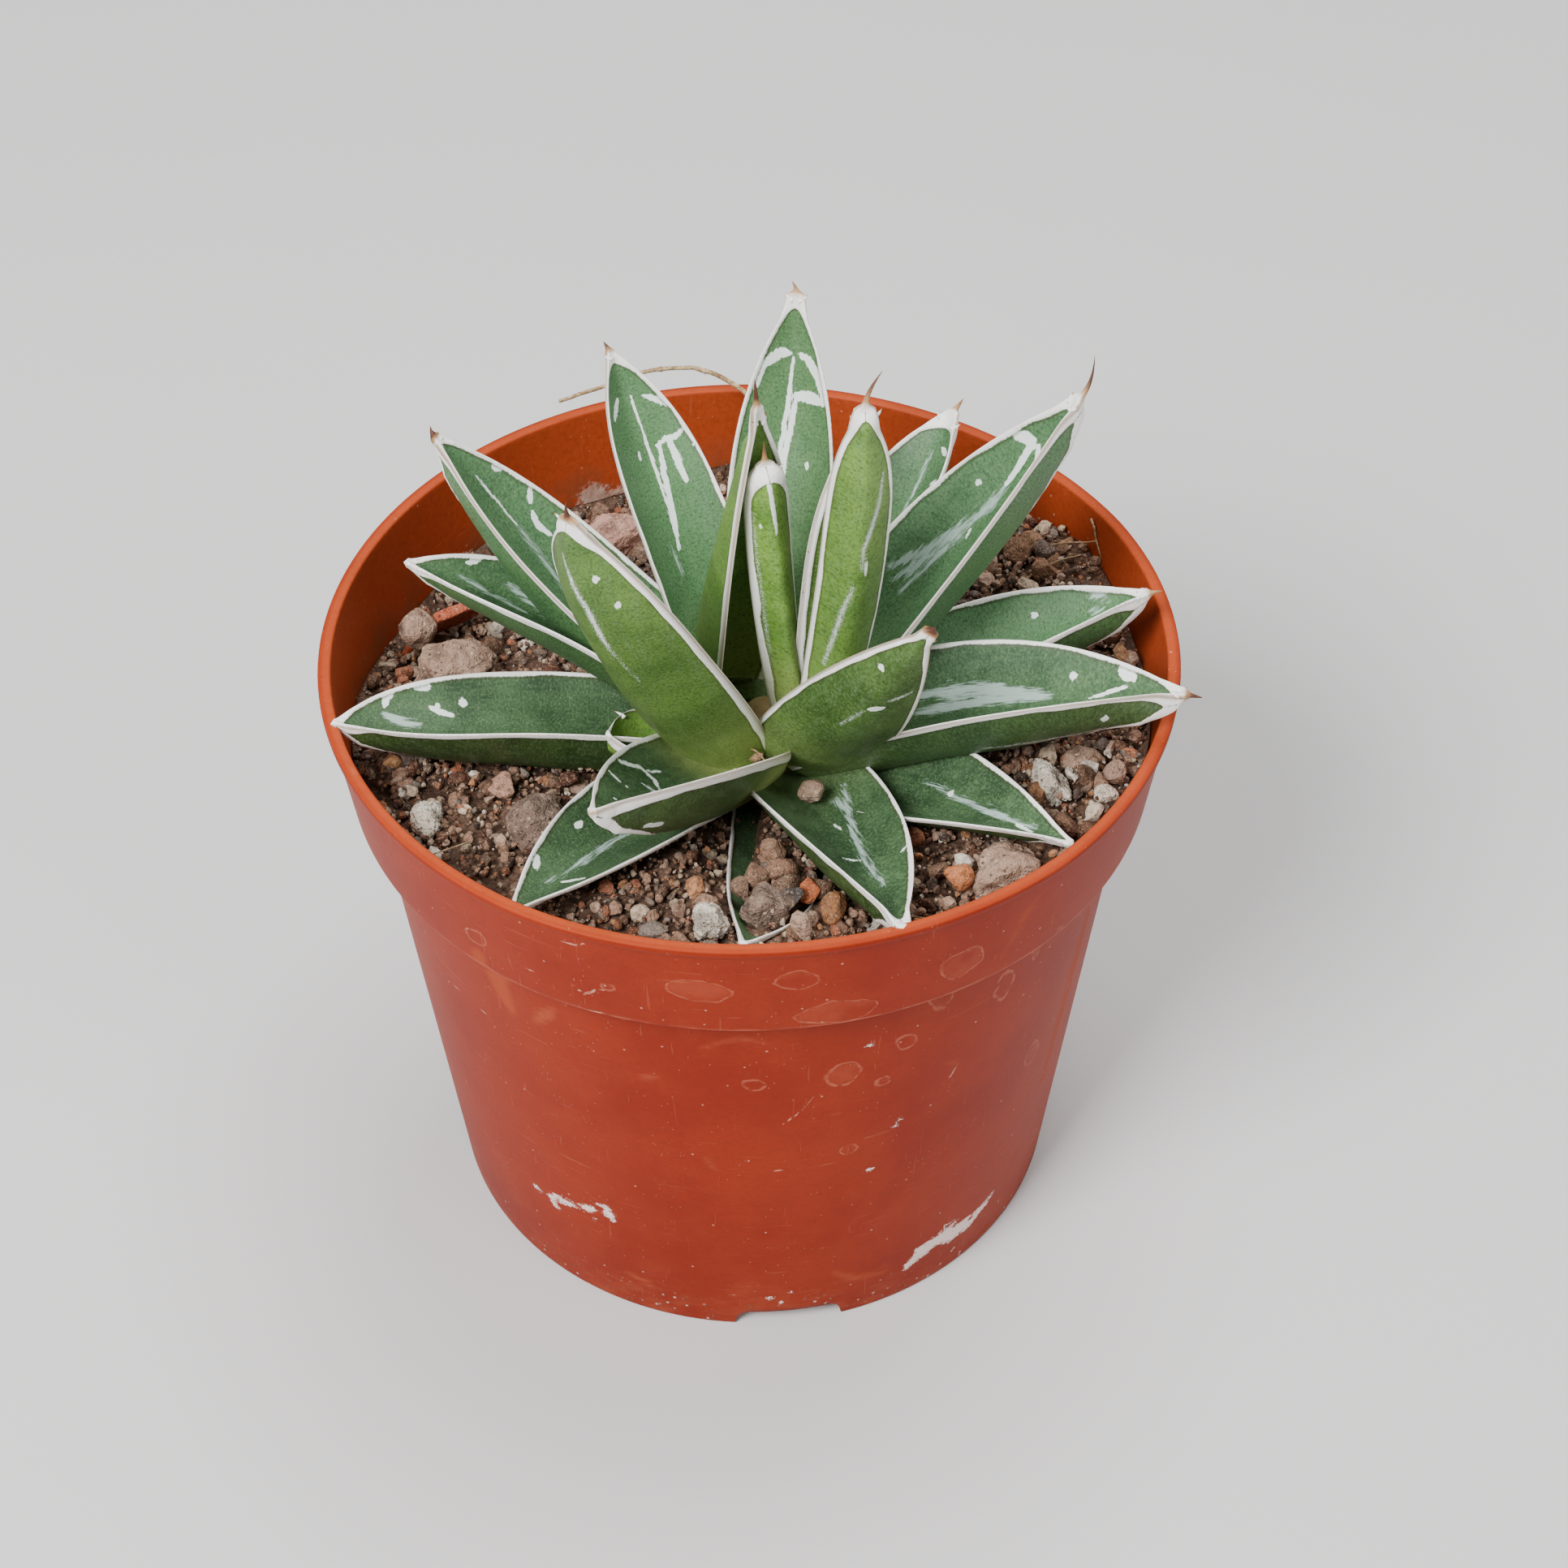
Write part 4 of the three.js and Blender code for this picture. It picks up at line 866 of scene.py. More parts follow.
def skin_paint(settings):
    """The agave's skin: waxy green with pale specks, white imprints, and a horny white edge that
    has a thin dark outline and dries to brown at its spines."""
    p = Paint("agave skin")
    skin = p.vector("skin")
    horn, edge, under = p.value("horn"), p.value("edge"), p.value("under")
    fresh, pale, dry, brown = p.value("fresh"), p.value("pale"), p.value("dry"), p.value("brown")
    lengthways = p.stretched(skin, (1, 0.14, 1))
    blotch = p.noise(6.5, 3, 0.6, skin)
    streak = p.noise(0.9, 3, 0.6, lengthways)
    grain = p.noise(0.5, 3, 0.65, skin)
    fine = p.noise(0.3, 1, 0.5, skin)
    speck = p.cells(0.62, skin).rise(0.26, 0.1)
    scratch = p.noise(0.34, 3, 0.7, p.stretched(skin, (1, 0.1, 1)))

    patches = blotch.rise(0.3, 0.7)
    above = p.mix(patches, (*settings.upper_dark, 1), (*settings.upper_light, 1))
    below = p.mix(patches, (*settings.under_dark, 1), (*settings.under_light, 1))
    young = p.mix(patches, tone(96, 138, 46), tone(128, 168, 70))
    # Paler waxy green where the bloom value is high: partly the skin's wax, partly painted light on the
    # leaves that face the lamps.
    green = p.mix(p.value("bloom"), p.mix(under, above, below), tone(96, 150, 98))
    green = p.mix(fresh, green, young)
    green = p.mix(streak.rise(0.42, 0.7) * 0.2, green, tone(104, 130, 90))
    green = p.mix(grain.rise(0.55, 0.35) * 0.35, green, tone(34, 56, 26))
    green = p.mix((pale + (streak - 0.5) * 0.5 * pale).rise(0.0, 1.0), green, tone(168, 180, 104))
    green = p.mix(speck * grain.rise(0.4, 0.6) * 0.3, green, tone(150, 172, 136))
    green = p.mix(fine.rise(0.52, 0.68) * 0.3, green, tone(112, 146, 98))
    green = p.mix(fine.rise(0.46, 0.32) * 0.4, green, tone(24, 42, 18))

    ragged = (grain - 0.5) * 0.5
    dust = p.noise(0.13, 1, 0.5, skin)
    mark = (p.value("mark") + ragged * 0.6 + (scratch - 0.5) * 0.7).rise(-0.04, 0.06)
    veil = (p.value("veil") + (scratch - 0.5) * 3.2).rise(-0.1, 0.6) * 0.7
    powder = (p.value("powder") + (dust - 0.5) * 1.6 + ragged).rise(0.0, 0.5) * 0.9
    green = p.mix(veil, green, tone(186, 206, 200))
    print_mask = mark.most(powder)
    green = p.mix(print_mask * 0.95, green, p.mix(fine, tone(226, 238, 232), tone(250, 252, 250)))

    horn_here = (horn + (grain - 0.5) * 0.22 + (streak - 0.5) * 0.12).rise(-0.02, 0.08)
    outline = horn.rise(-0.3, -0.05) * (1 - horn.rise(-0.04, 0.06))
    green = p.mix(outline * grain.rise(0.25, 0.6) * 0.62, green, tone(58, 56, 24))

    bone = p.mix(streak.rise(0.35, 0.7), tone(255, 254, 250), tone(244, 240, 232))
    bone = p.mix(p.noise(1.7, 2, 0.5, skin).rise(0.62, 0.75) * 0.25, bone, tone(196, 176, 142))
    bone = p.mix(pale.rise(0.1, 0.7) * 0.5, bone, tone(222, 222, 176))
    rim = edge.rise(0.16, 0.0) * (grain + brown * 0.35).rise(0.52, 0.66)
    bone = p.mix(rim * (0.3 + brown * 0.45), bone, tone(150, 112, 78))
    bone = p.mix((dry * (0.6 + brown * 0.7) + (grain - 0.5) * 0.2).rise(0.08, 0.55), bone,
                 tone(176, 136, 92))
    bone = p.mix((dry * (0.35 + brown) + (grain - 0.5) * 0.25).rise(0.4, 1.0), bone, tone(84, 46, 28))
    colour = p.mix(horn_here, green, bone)

    roughness = 0.49 + grain * 0.12 + print_mask.most(veil) * 0.18 - horn_here * 0.05
    height = (fine * 0.02 + grain * 0.03 + streak * 0.03 - speck * 0.018 + print_mask * 0.025
              + horn_here * (streak * 0.06 + 0.03))
    return p.done(colour, roughness, height, Specular_IOR_Level=0.42, Subsurface_Weight=0.08,
                  Subsurface_Scale=0.0012, Subsurface_Radius=(0.9, 1.0, 0.3))


# ------------------------------------------------------------------ the pot

def wall_radius(z):
    """The body's outer radius at a height: an even slope from the foot to the step."""
    return POT["foot"] + (POT["body_top"] - POT["foot"]) * z / COLLAR_FOOT


def pot_headings():
    """Headings of the pot's columns in degrees: close together at the front, wide apart at the
    back, with a pair of columns a hair apart at each end of each notch."""
    front = np.linspace(196, 344, 292)
    rest = np.linspace(344, 556, 100)[1:-1] % 360
    half = math.degrees(math.asin(NOTCH["width"] / 2 / POT["foot"]))
    middles = NOTCH["heading"] + 360 / NOTCH["count"] * np.arange(NOTCH["count"])
    hair = 0.02
    edges = (middles[:, None] + [-half - hair, -half + hair, half - hair, half + hair]).ravel() % 360
    near = np.array([0.5, 1.1, 1.8, 2.6]) - half
    rest = np.concatenate([rest, (middles[:, None] + [*near, *-near]).ravel() % 360])
    plain = np.concatenate([front, rest])
    gap = np.abs((plain[:, None] - edges + 180) % 360 - 180).min(1)
    return np.unique(np.concatenate([plain[gap > 0.1], edges])), middles, half


def pot_parts():
    """The pot's wall: a rounded profile carried round the axis. Within a notch, points of the
    foot ring are lifted to the notch's top, and the wall is dented by up to 1.3 percent of its
    radius by waves of two and three dents round it, more towards the rim."""
    height, wall, lip = POT["height"], POT["wall"], POT["height"] - POT["lip_height"]
    inner = POT["rim"] - POT["lip_width"]
    step = COLLAR_FOOT + wall
    corners = (
        (POT["floor_ring"], FLOOR_TOP, 0.3), (POT["floor_ring"], POT["foot_height"], 0.3),
        (POT["foot_bevel"], POT["foot_height"], 0.3), (POT["foot_inside"], 0, 0.35),
        (POT["foot"], 0, 0.5), (POT["body_top"] - 0.15, COLLAR_FOOT - 0.9, 0.6),
        (POT["body_top"] + 0.5, COLLAR_FOOT + 0.05, 0.45), (POT["collar_foot"], COLLAR_FOOT, 0.55),
        (POT["collar_top"] - 0.05, lip - 0.35, 0.5), (POT["rim"], lip, 0.3),
        (POT["rim"], height, 0.42), (inner, height, 0.42), (inner - 0.2, lip - 0.4, 0.5),
        (POT["collar_foot"] - wall, step, 0.8), (POT["body_top"] - wall, step, 0.6),
        (wall_radius(FLOOR_TOP) - wall, FLOOR_TOP, 0.3))
    spacing = (2, 2, 2, 1, 0.95, 1, 1, 0.8, 0.5, 0.5, 0.5, 0.6, 1.2, 1, 4.5, 3)
    profile = rounded_profile(corners, spacing)
    headings, middles, half = pot_headings()
    angle = np.radians(headings)
    radius, z = np.broadcast_arrays(profile[:, 0, None], profile[:, 1, None] + 0 * angle)
    off = np.abs((headings[:, None] - middles + 180) % 360 - 180).min(1)
    lift = POT["foot_height"] * arch(np.radians(half - off) * POT["foot"] / NOTCH["round_top"])
    z = np.where(off < half, np.maximum(z, lift), z)
    dent = (0.0065 * np.cos(2 * angle) - 0.0018 * np.sin(2 * angle) + 0.0047 * np.cos(3 * angle)
            - 0.0039 * np.sin(3 * angle))
    bow = 1 + np.minimum(dent, 0) * smooth(z, 15, 95)
    rings = np.stack([radius * bow * np.cos(angle), radius * bow * np.sin(angle), z], -1)
    rows, columns = z.shape
    here, row = np.arange(columns), np.arange(rows)[:, None]
    after, above = (here + 1) % columns, (row + 1) % rows
    quads = np.stack([row * columns + here, row * columns + after, above * columns + after,
                      above * columns + here], -1).reshape(-1, 4)
    outer = np.interp(z, [0, COLLAR_FOOT, COLLAR_FOOT + 0.1, height],
                      [POT["foot"], POT["body_top"], POT["collar_foot"], POT["rim"]])
    outside = radius > outer - 0.9
    fields = pot_fields(np.broadcast_to(headings, z.shape).ravel(), z.ravel(), outside.ravel())
    return rings.reshape(-1, 3), [quads], fields


def pot_fields(headings, z, outside):
    """What the plastic shows at each point: how far inside a scuff, dust or line it lies, how far
    from a drop's wavy ring, and how thick the salt crust is."""
    flat = np.stack([np.radians(headings) * UNROLLED, z], -1)
    fields = {}
    for kind, marks in POT_MARKS.items():
        strokes = [(width, [(math.radians(heading) * UNROLLED, up) for heading, up in line])
                   for width, *line in marks]
        fields[kind] = np.where(outside, np.maximum(nearest_stroke(flat, strokes), -4), -4)
    spread = np.column_stack([flat, 0 * z])
    waves = 1 + 0.34 * lumps(spread, 2.9) + 0.2 * lumps(spread, 1.4, 3)
    ring = np.full(len(flat), 9.0)
    for heading, up, size, tall in DROPS:
        off = (flat - [math.radians(heading) * UNROLLED, up]) / [1, tall]
        inwards = np.hypot(off[:, 0], off[:, 1]) - size * waves
        ring = np.where(np.abs(inwards) < np.abs(ring), inwards, ring)
    fields["drop"] = np.where(outside, np.clip(ring, -4, 4), 4)
    crust = np.zeros(len(flat))
    for heading, up, size in CRUSTS:
        off = np.abs((headings - heading + 180) % 360 - 180)
        far = np.hypot(np.radians(off) * UNROLLED_INSIDE, z - up)
        crust = np.maximum(crust, np.exp(-(far / size) ** 2))
    fields["crust"] = np.where(outside, 0, crust)
    fields["inside"] = np.where(outside, 0.0, 1.0)
    fields["round_about"] = np.column_stack([flat, fields["inside"] * 30])
    return fields


def drained_floor():
    """The pot's floor: a disc a little larger than the wall ring's inside, with eight drain holes
    cut by cylinders. Both are lathed profiles."""
    def lathe(radii, heights, sides, middle=(0, 0)):
        """Rings at the radii and heights round a middle."""
        angle = np.linspace(0, 2 * np.pi, sides, endpoint=False)
        radius, z = np.array(radii, float)[:, None], np.array(heights, float)[:, None]
        return np.stack([radius * np.cos(angle) + middle[0], radius * np.sin(angle) + middle[1],
                         z + 0 * angle], -1)

    def whole(label, points, faces):
        """A bare object for the cut."""
        mesh = bpy.data.meshes.new(label)
        mesh.from_pydata((points * MM).tolist(), [],
                         [face for group in faces for face in group.tolist()])
        item = bpy.data.objects.new(label, mesh)
        bpy.context.scene.collection.objects.link(item)
        return item

    low, high, hub, edge = POT["foot_height"], FLOOR_TOP, DRAIN["hub"], DRAIN["disc"]
    body = whole("disc", *closed_skin(lathe((hub, edge, edge, hub), (low, low, high, high), 96)))
    holes = []
    for k in range(DRAIN["count"]):
        angle = math.radians(NOTCH["heading"] + (k + 0.5) * 360 / DRAIN["count"])
        middle = (DRAIN["ring"] * math.cos(angle), DRAIN["ring"] * math.sin(angle))
        hole = lathe((DRAIN["radius"],) * 2, (low - 1, high + 1), 28, middle)
        holes.append((*closed_skin(hole), {}))
    cutter = whole("holes", *joined(holes)[:2])
    cut = body.modifiers.new("drain", "BOOLEAN")
    cut.operation, cut.solver, cut.object = "DIFFERENCE", "EXACT", cutter
    result = bpy.data.meshes.new_from_object(
        body.evaluated_get(bpy.context.evaluated_depsgraph_get()))
    result.materials.clear()
    bpy.data.objects.remove(body)
    bpy.data.objects.remove(cutter)
    return result


def pot_paint(settings):
    """Moulded terracotta-coloured plastic: fine grain, dust specks, hairline scratches, white
    scuffs, rings of dried drops, salt crust inside, soil dust near the foot, and a painted shadow
    just under the collar's step."""
    p = Paint("terracotta plastic")
    about = p.vector("round_about")
    up, inside = p.up(), p.value("inside")
    cloud = p.noise(26, 4, 0.6)
    patch = p.noise(7, 4, 0.6)
    grain = p.noise(0.8, 3, 0.6)
    fine = p.noise(0.28, 2, 0.6)
    wiped = p.noise(1.1, 4, 0.65, p.stretched(about, (0.22, 1, 1)))
    hair = p.noise(0.5, 2, 0.5, p.stretched(about, (0.05, 1, 1)), 0.6)
    upright = p.noise(0.6, 2, 0.5, p.stretched(about, (1, 0.07, 1)), 0.8)

    colour = p.mix(cloud.rise(0.3, 0.7), (*settings.colour, 1), (*settings.colour_worn, 1))
    colour = p.mix(patch.rise(0.4, 0.75) * 0.3, colour, (0.3, 0.03, 0.006, 1))
    colour = p.mix(inside * 0.6, colour, (0.42, 0.075, 0.022, 1))
    colour = p.mix((grain.rise(0.6, 0.3)) * 0.22, colour, (0.14, 0.008, 0.001, 1))
    lip = up.rise(POT["height"] - 0.35, POT["height"] - 0.08)
    colour = p.mix(lip * (0.2 + patch * 0.3), colour, tone(186, 78, 40))
    haze = (wiped.rise(0.5, 0.75) * cloud.rise(0.45, 0.6)) * 0.14
    colour = p.mix(haze, colour, tone(160, 60, 32))
    lines = (hair.rise(0.685, 0.72) * cloud.rise(0.4, 0.55)).most(upright.rise(0.7, 0.73) * 0.7)
    colour = p.mix(lines * 0.25, colour, tone(190, 104, 76))
    cell, pick = p.cells_and_picks(2.6)
    speck = cell.rise(0.085, 0.05) * pick.rise(0.5, 0.6)
    tiny = p.cells(1.0).rise(0.12, 0.07) * p.noise(5, 2).rise(0.5, 0.6)
    colour = p.mix((speck + tiny * 0.7) * 0.6, colour, tone(206, 156, 134))
    crumb = p.cells(1.5).rise(0.22, 0.12) * (up.rise(15, 0) + patch - 0.5).rise(0.5, 0.75)
    colour = p.mix(crumb * 0.8, colour, p.mix(p.noise(3.1).rise(0.5, 0.6), tone(118, 78, 56),
                                              tone(214, 184, 164)))
    dusty = up.rise(16, 0) * (patch + wiped - 0.5).rise(0.4, 0.8) * 0.4
    colour = p.mix(dusty, colour, tone(150, 72, 44))
    # Painted shadow: a dark band on the body just under the collar's step, where the overhang shades it,
    # broken up by noise.
    corner = up.rise(COLLAR_FOOT - 1.4, COLLAR_FOOT - 0.3) * up.rise(COLLAR_FOOT + 0.1, COLLAR_FOOT)
    colour = p.mix(corner * (0.3 + wiped * 0.4) * (1 - inside), colour, tone(92, 30, 14))
    worn = up.rise(COLLAR_FOOT + 0.9, COLLAR_FOOT + 0.35) * up.rise(COLLAR_FOOT, COLLAR_FOOT + 0.15)
    colour = p.mix(worn * wiped.rise(0.4, 0.65) * (1 - inside) * 0.4, colour, tone(206, 120, 88))
    drop = p.value("drop") + (patch - 0.5) * 2.2
    rim = drop.rise(-0.4, 0.0) * drop.rise(0.25, 0.06) * grain.rise(0.3, 0.5)
    pool = drop.rise(0.1, -0.7)
    colour = p.mix(pool * patch.rise(0.4, 0.7) * 0.16, colour, tone(188, 96, 66))
    colour = p.mix(rim * wiped.rise(0.3, 0.6) * 0.34, colour, tone(206, 130, 102))
    dust = (p.value("dust") + (wiped - 0.5) * 2.4).rise(-0.2, 1.4)
    colour = p.mix(dust * 0.32, colour, tone(184, 98, 68))
    line = (p.value("line") + (fine - 0.5) * 0.3).rise(-0.12, 0.06) * wiped.rise(0.3, 0.5)
    colour = p.mix(line * 0.6, colour, tone(222, 164, 142))
    scuff = (p.value("scuff") + (wiped - 0.5) * 3.2 + (fine - 0.5) * 1.6).rise(-0.05, 0.4)
    scuff = scuff * (fine * 0.5 + p.noise(0.55, 3, 0.7) * 0.5 + p.value("scuff") * 0.08).rise(0.4, 0.52)
    colour = p.mix(scuff * 0.9, colour, p.mix(fine, tone(226, 196, 186), tone(246, 236, 232)))
    crust = (p.value("crust") + (grain - 0.5) * 0.9 + (patch - 0.5) * 0.5).rise(0.42, 0.75)
    colour = p.mix(crust * 0.8, colour, p.mix(fine, tone(160, 130, 112), tone(222, 206, 190)))
    soiled = inside * up.rise(89, 82) * patch.rise(0.35, 0.6)
    colour = p.mix(soiled * 0.6, colour, tone(112, 66, 44))

    roughness = 0.45 + grain * 0.1 + dust * 0.2 + scuff * 0.25 + crust * 0.3 + haze * 0.3 + lip * 0.05
    height = (fine * 0.012 + grain * 0.02 + patch * 0.05 + scuff * 0.03 + crust * 0.12 + rim * 0.01
              - lines * 0.012 + crumb * 0.12)
    return p.done(colour, roughness, height, Specular_IOR_Level=0.12)


# ------------------------------------------------------------------ the soil and what lies on it

def soil_height(x, y):
    """The soil's surface without its lumps: a level with swells, each rise exp(-(distance /
    reach)^2)."""
    z = SOIL_TOP + 0 * x
    for at_x, at_y, reach, rise in SWELLS:
        z = z + rise * np.exp(-((x - at_x) ** 2 + (y - at_y) ** 2) / reach ** 2)
    return z


def inner_radius(z):
    """The pot's inside radius at a height."""
    step = COLLAR_FOOT + POT["wall"]
    top = POT["rim"] - POT["lip_width"] - 0.2
    foot = POT["collar_foot"] - POT["wall"]
    collar = foot + (top - foot) * (z - step) / (POT["height"] - POT["lip_height"] - step)
    return np.where(z >= step, collar, wall_radius(z) - POT["wall"])


def under_leaves(x, y):
    """How high the soil may reach below the leaves: their lowest point over each cell of a half
    millimetre net, less a little. Of the buried leaf only the edges and the tip stay free."""
    reach, per_mm, gap, out_of_the_way = 65, 2, 0.25, 20

    def cell_of(points):
        """The net's cell that each point lies in."""
        cell = ((points + reach) * per_mm).astype(int)
        return tuple(np.moveaxis(np.clip(cell, 0, 2 * reach * per_mm - 1), -1, 0))

    net = np.full((2 * reach * per_mm,) * 2, 99.0)
    u, v = (side.ravel() for side in np.meshgrid(np.linspace(0, 1, 260), np.linspace(-1, 1, 81)))
    for name, leaf in LEAVES.items():
        place, _, across, normal = leaf_frame(leaf, u)
        half, above, depth = leaf_section(leaf, u, v)
        if name == BURIED:
            free = (v > 0.45) | (v < -0.82) | (u > 0.88)
            depth = np.where(free, above - gap, out_of_the_way)
        points = place + across * (half * v)[:, None] + normal * (depth - gap)[:, None]
        np.minimum.at(net, cell_of(points[:, :2]), points[:, 2])
    return net[cell_of(np.stack([x, y], -1))]


def pit_height(x, y):
    """How high the soil may lie round the buried leaf: just below its left edge and the end of its
    right one, and 0.6 mm more for each mm away from them."""
    u = np.concatenate([np.linspace(0.3, 1, 45), np.linspace(0.74, 1, 20)])
    v = np.where(np.arange(65) < 45, 1.0, -1.0)
    leaf = LEAVES[BURIED]
    place, _, across, _ = leaf_frame(leaf, u)
    edge = place + across * (leaf_half_width(leaf, u)[0] * v)[:, None]
    far = np.hypot(x[..., None] - edge[:, 0], y[..., None] - edge[:, 1])
    return (edge[:, 2] - 0.7 + 0.6 * far).min(-1)


def soil_parts():
    """The soil: rings that grow from the middle of the top to the wall, then go down the wall to
    the floor and back to the middle. The top is the soil's height plus layered noise."""
    gap = 0.3
    angle = np.linspace(0, 2 * np.pi, 300, endpoint=False)
    share = np.linspace(0.01, 1, 120)[:, None] ** 0.9
    rim = inner_radius(SOIL_TOP) - gap
    for _ in range(4):
        rim = inner_radius(soil_height(rim * np.cos(angle), rim * np.sin(angle))) - gap
    x, y = share * rim * np.cos(angle), share * rim * np.sin(angle)
    z = soil_height(x, y)
    flat = np.stack([x, y, 0 * x], -1)
    bumpy = 0.75 * layered(flat, 3.4, 4, 3) + 0.5 * lumps(flat, 9, 4) - 0.5
    z = z + bumpy * smooth(1 - share, 0, 0.03)
    z = np.minimum(np.minimum(z, under_leaves(x, y)), pit_height(x, y) + 0.4 * bumpy)
    top = np.stack([x, y, z], -1)
    floor = FLOOR_TOP + gap
    depths = np.concatenate([np.linspace(0.96, 0.0, 14), [0.0]])[:, None]
    wall_z = floor + depths * (z[-1] - floor)
    below_step = wall_z < COLLAR_FOOT + POT["wall"]
    widest = np.where(below_step, POT["body_top"] - POT["wall"], np.inf)
    wall_r = np.minimum(inner_radius(wall_z), widest) - gap
    wall_r[-1] *= 0.5
    wall = np.stack([wall_r * np.cos(angle), wall_r * np.sin(angle), wall_z], -1)
    rings = np.concatenate([top, wall])[::-1]
    return closed_skin(rings)


def soil_paint():
    """Dark gritty mix: brown crumbs, painted shade in the hollows, and pale and rusty specks."""
    p = Paint("gritty soil")
    lump = p.noise(3.2, 4, 0.65)
    crumb = p.noise(0.9, 4, 0.7)
    cell, pick = p.cells_and_picks(1.3)
    # Partly the soil's own tone and partly painted shade: the ramp's dark end falls where the same noise
    # sets the bump low.
    colour = p.node("ShaderNodeValToRGB", {"stops": (
        (0.25, tone(38, 27, 22)), (0.45, tone(74, 54, 43)), (0.6, tone(106, 82, 67)),
        (0.8, tone(140, 114, 97)))}, {0: crumb * 0.7 + lump * 0.3})
    colour = p.mix(cell.rise(0.3, 0.15) * pick.rise(0.72, 0.8), colour, tone(160, 136, 110))
    colour = p.mix(cell.rise(0.3, 0.15) * pick.rise(0.25, 0.15), colour, tone(128, 74, 46))
    height = lump * 0.8 + crumb * 0.6 - cell * 0.3
    return p.done(colour, 0.92 - crumb * 0.1, height, Specular_IOR_Level=0.2)


def ball(level):
    """Points and triangles of an icosahedron on the unit ball, with each face split in four as
    many times as the level says: the new points are the edges' middles, pushed out to the ball."""
    golden = (1 + 5 ** 0.5) / 2
    points = np.array([(-1, golden, 0), (1, golden, 0), (-1, -golden, 0), (1, -golden, 0),
                       (0, -1, golden), (0, 1, golden), (0, -1, -golden), (0, 1, -golden),
                       (golden, 0, -1), (golden, 0, 1), (-golden, 0, -1), (-golden, 0, 1)], float)
    faces = np.array([(0, 11, 5), (0, 5, 1), (0, 1, 7), (0, 7, 10), (0, 10, 11), (1, 5, 9),
                      (5, 11, 4), (11, 10, 2), (10, 7, 6), (7, 1, 8), (3, 9, 4), (3, 4, 2),
                      (3, 2, 6), (3, 6, 8), (3, 8, 9), (4, 9, 5), (2, 4, 11), (6, 2, 10),
                      (8, 6, 7), (9, 8, 1)])
    points /= np.linalg.norm(points[0])
    for _ in range(level):
        sides = np.sort(faces[:, [[0, 1], [1, 2], [2, 0]]].reshape(-1, 2), axis=1)
        unique, place = np.unique(sides, axis=0, return_inverse=True)
        middle = points[unique].mean(1)
        place = place.reshape(-1, 3) + len(points)
        points = np.vstack([points, middle / np.linalg.norm(middle, axis=1)[:, None]])
        a, b, c = faces.T
        ab, bc, ca = place.T
        faces = np.vstack([np.stack(corner, -1) for corner in (
            (a, ab, ca), (ab, b, bc), (ca, bc, c), (ab, bc, ca))])
    return points, faces


def grains(places, sizes, colours, level, random):
    """Many angular grains as one mesh. Each starts as a ball; its reach in each direction is the
    least of 1 and h / cos a over seven random planes at distance h, a being the angle between the
    direction and the plane's. It is then squashed, turned at random and put in its place."""
    count = len(places)
    unit, faces = ball(level)
    planes = random.normal(size=(count, 7, 3))
    planes /= np.linalg.norm(planes, axis=2)[..., None]
    depth = random.uniform(0.38, 0.84, (count, 1, 7))
    lean = np.einsum("vk,npk->nvp", unit, planes)
    reach = np.minimum(1, (depth / np.maximum(lean, 0.05)).min(2))
    shape = unit[None] * reach[..., None] * random.uniform(0.68, 1.15, (count, 1, 3))
    turn = np.linalg.qr(random.normal(size=(count, 3, 3)))[0]
    turn[np.linalg.det(turn) < 0] *= -1
    points = np.einsum("nvk,nkl->nvl", shape, turn) * sizes[:, None, None] + places[:, None]
    all_faces = (faces[None] + (np.arange(count) * len(unit))[:, None, None]).reshape(-1, 3)
    tint = np.repeat(np.column_stack([colours, np.ones(count)]), len(unit), axis=0)
    return points.reshape(-1, 3), [all_faces], {"tint": tint}


def grain_paint(name):
    """Grit: each grain's own colour, mottled and dusted, with pits."""
    p = Paint(name)
    tint = p.node("ShaderNodeAttribute", {"attribute_name": "tint"}, output="Color")
    mottle = p.noise(0.9, 3, 0.65)
    fine = p.noise(0.3, 2, 0.6)
    colour = p.mix(mottle.rise(0.58, 0.32) * 0.75, tint, p.mix(0.75, tint, tone(28, 17, 11)))
    colour = p.mix(fine.rise(0.5, 0.72) * 0.5, colour, tone(190, 164, 134))
    colour = p.mix(p.noise(4, 2).rise(0.5, 0.7) * 0.22, colour, tone(150, 118, 92))
    height = mottle * 0.5 + fine * 0.22
    return p.done(colour, 0.92 - fine * 0.1, height, Specular_IOR_Level=0.2)


def leaf_cloud():
    """Points spread over both faces of all leaves, to keep grains out of them."""
    u, v = (side.ravel() for side in np.meshgrid(np.linspace(0, 1, 44), np.linspace(-1, 1, 13)))
    cloud = []
    for name, leaf in LEAVES.items():
        place, _, across, normal = leaf_frame(leaf, u)
        half, above, below = leaf_section(leaf, u, v)
        free = (v > 0.4) | (v < -0.8) | (u > 0.9) | (name != BURIED)
        for depth in (above, (above + below) / 2, below):
            face = place + across * (half * v)[:, None] + normal * depth[:, None]
            cloud.append(face[free])
    return np.vstack(cloud)


def clear_of(points, reach, cloud):
    """Which points have no cloud point within their reach."""
    clear = np.ones(len(points), bool)
    batch = 200
    for start in range(0, len(points), batch):
        part = slice(start, start + batch)
        away = points[part, None] - cloud[None]
        clear[part] = (np.einsum("npk,npk->np", away, away) > reach[part, None] ** 2).all(1)
    return clear


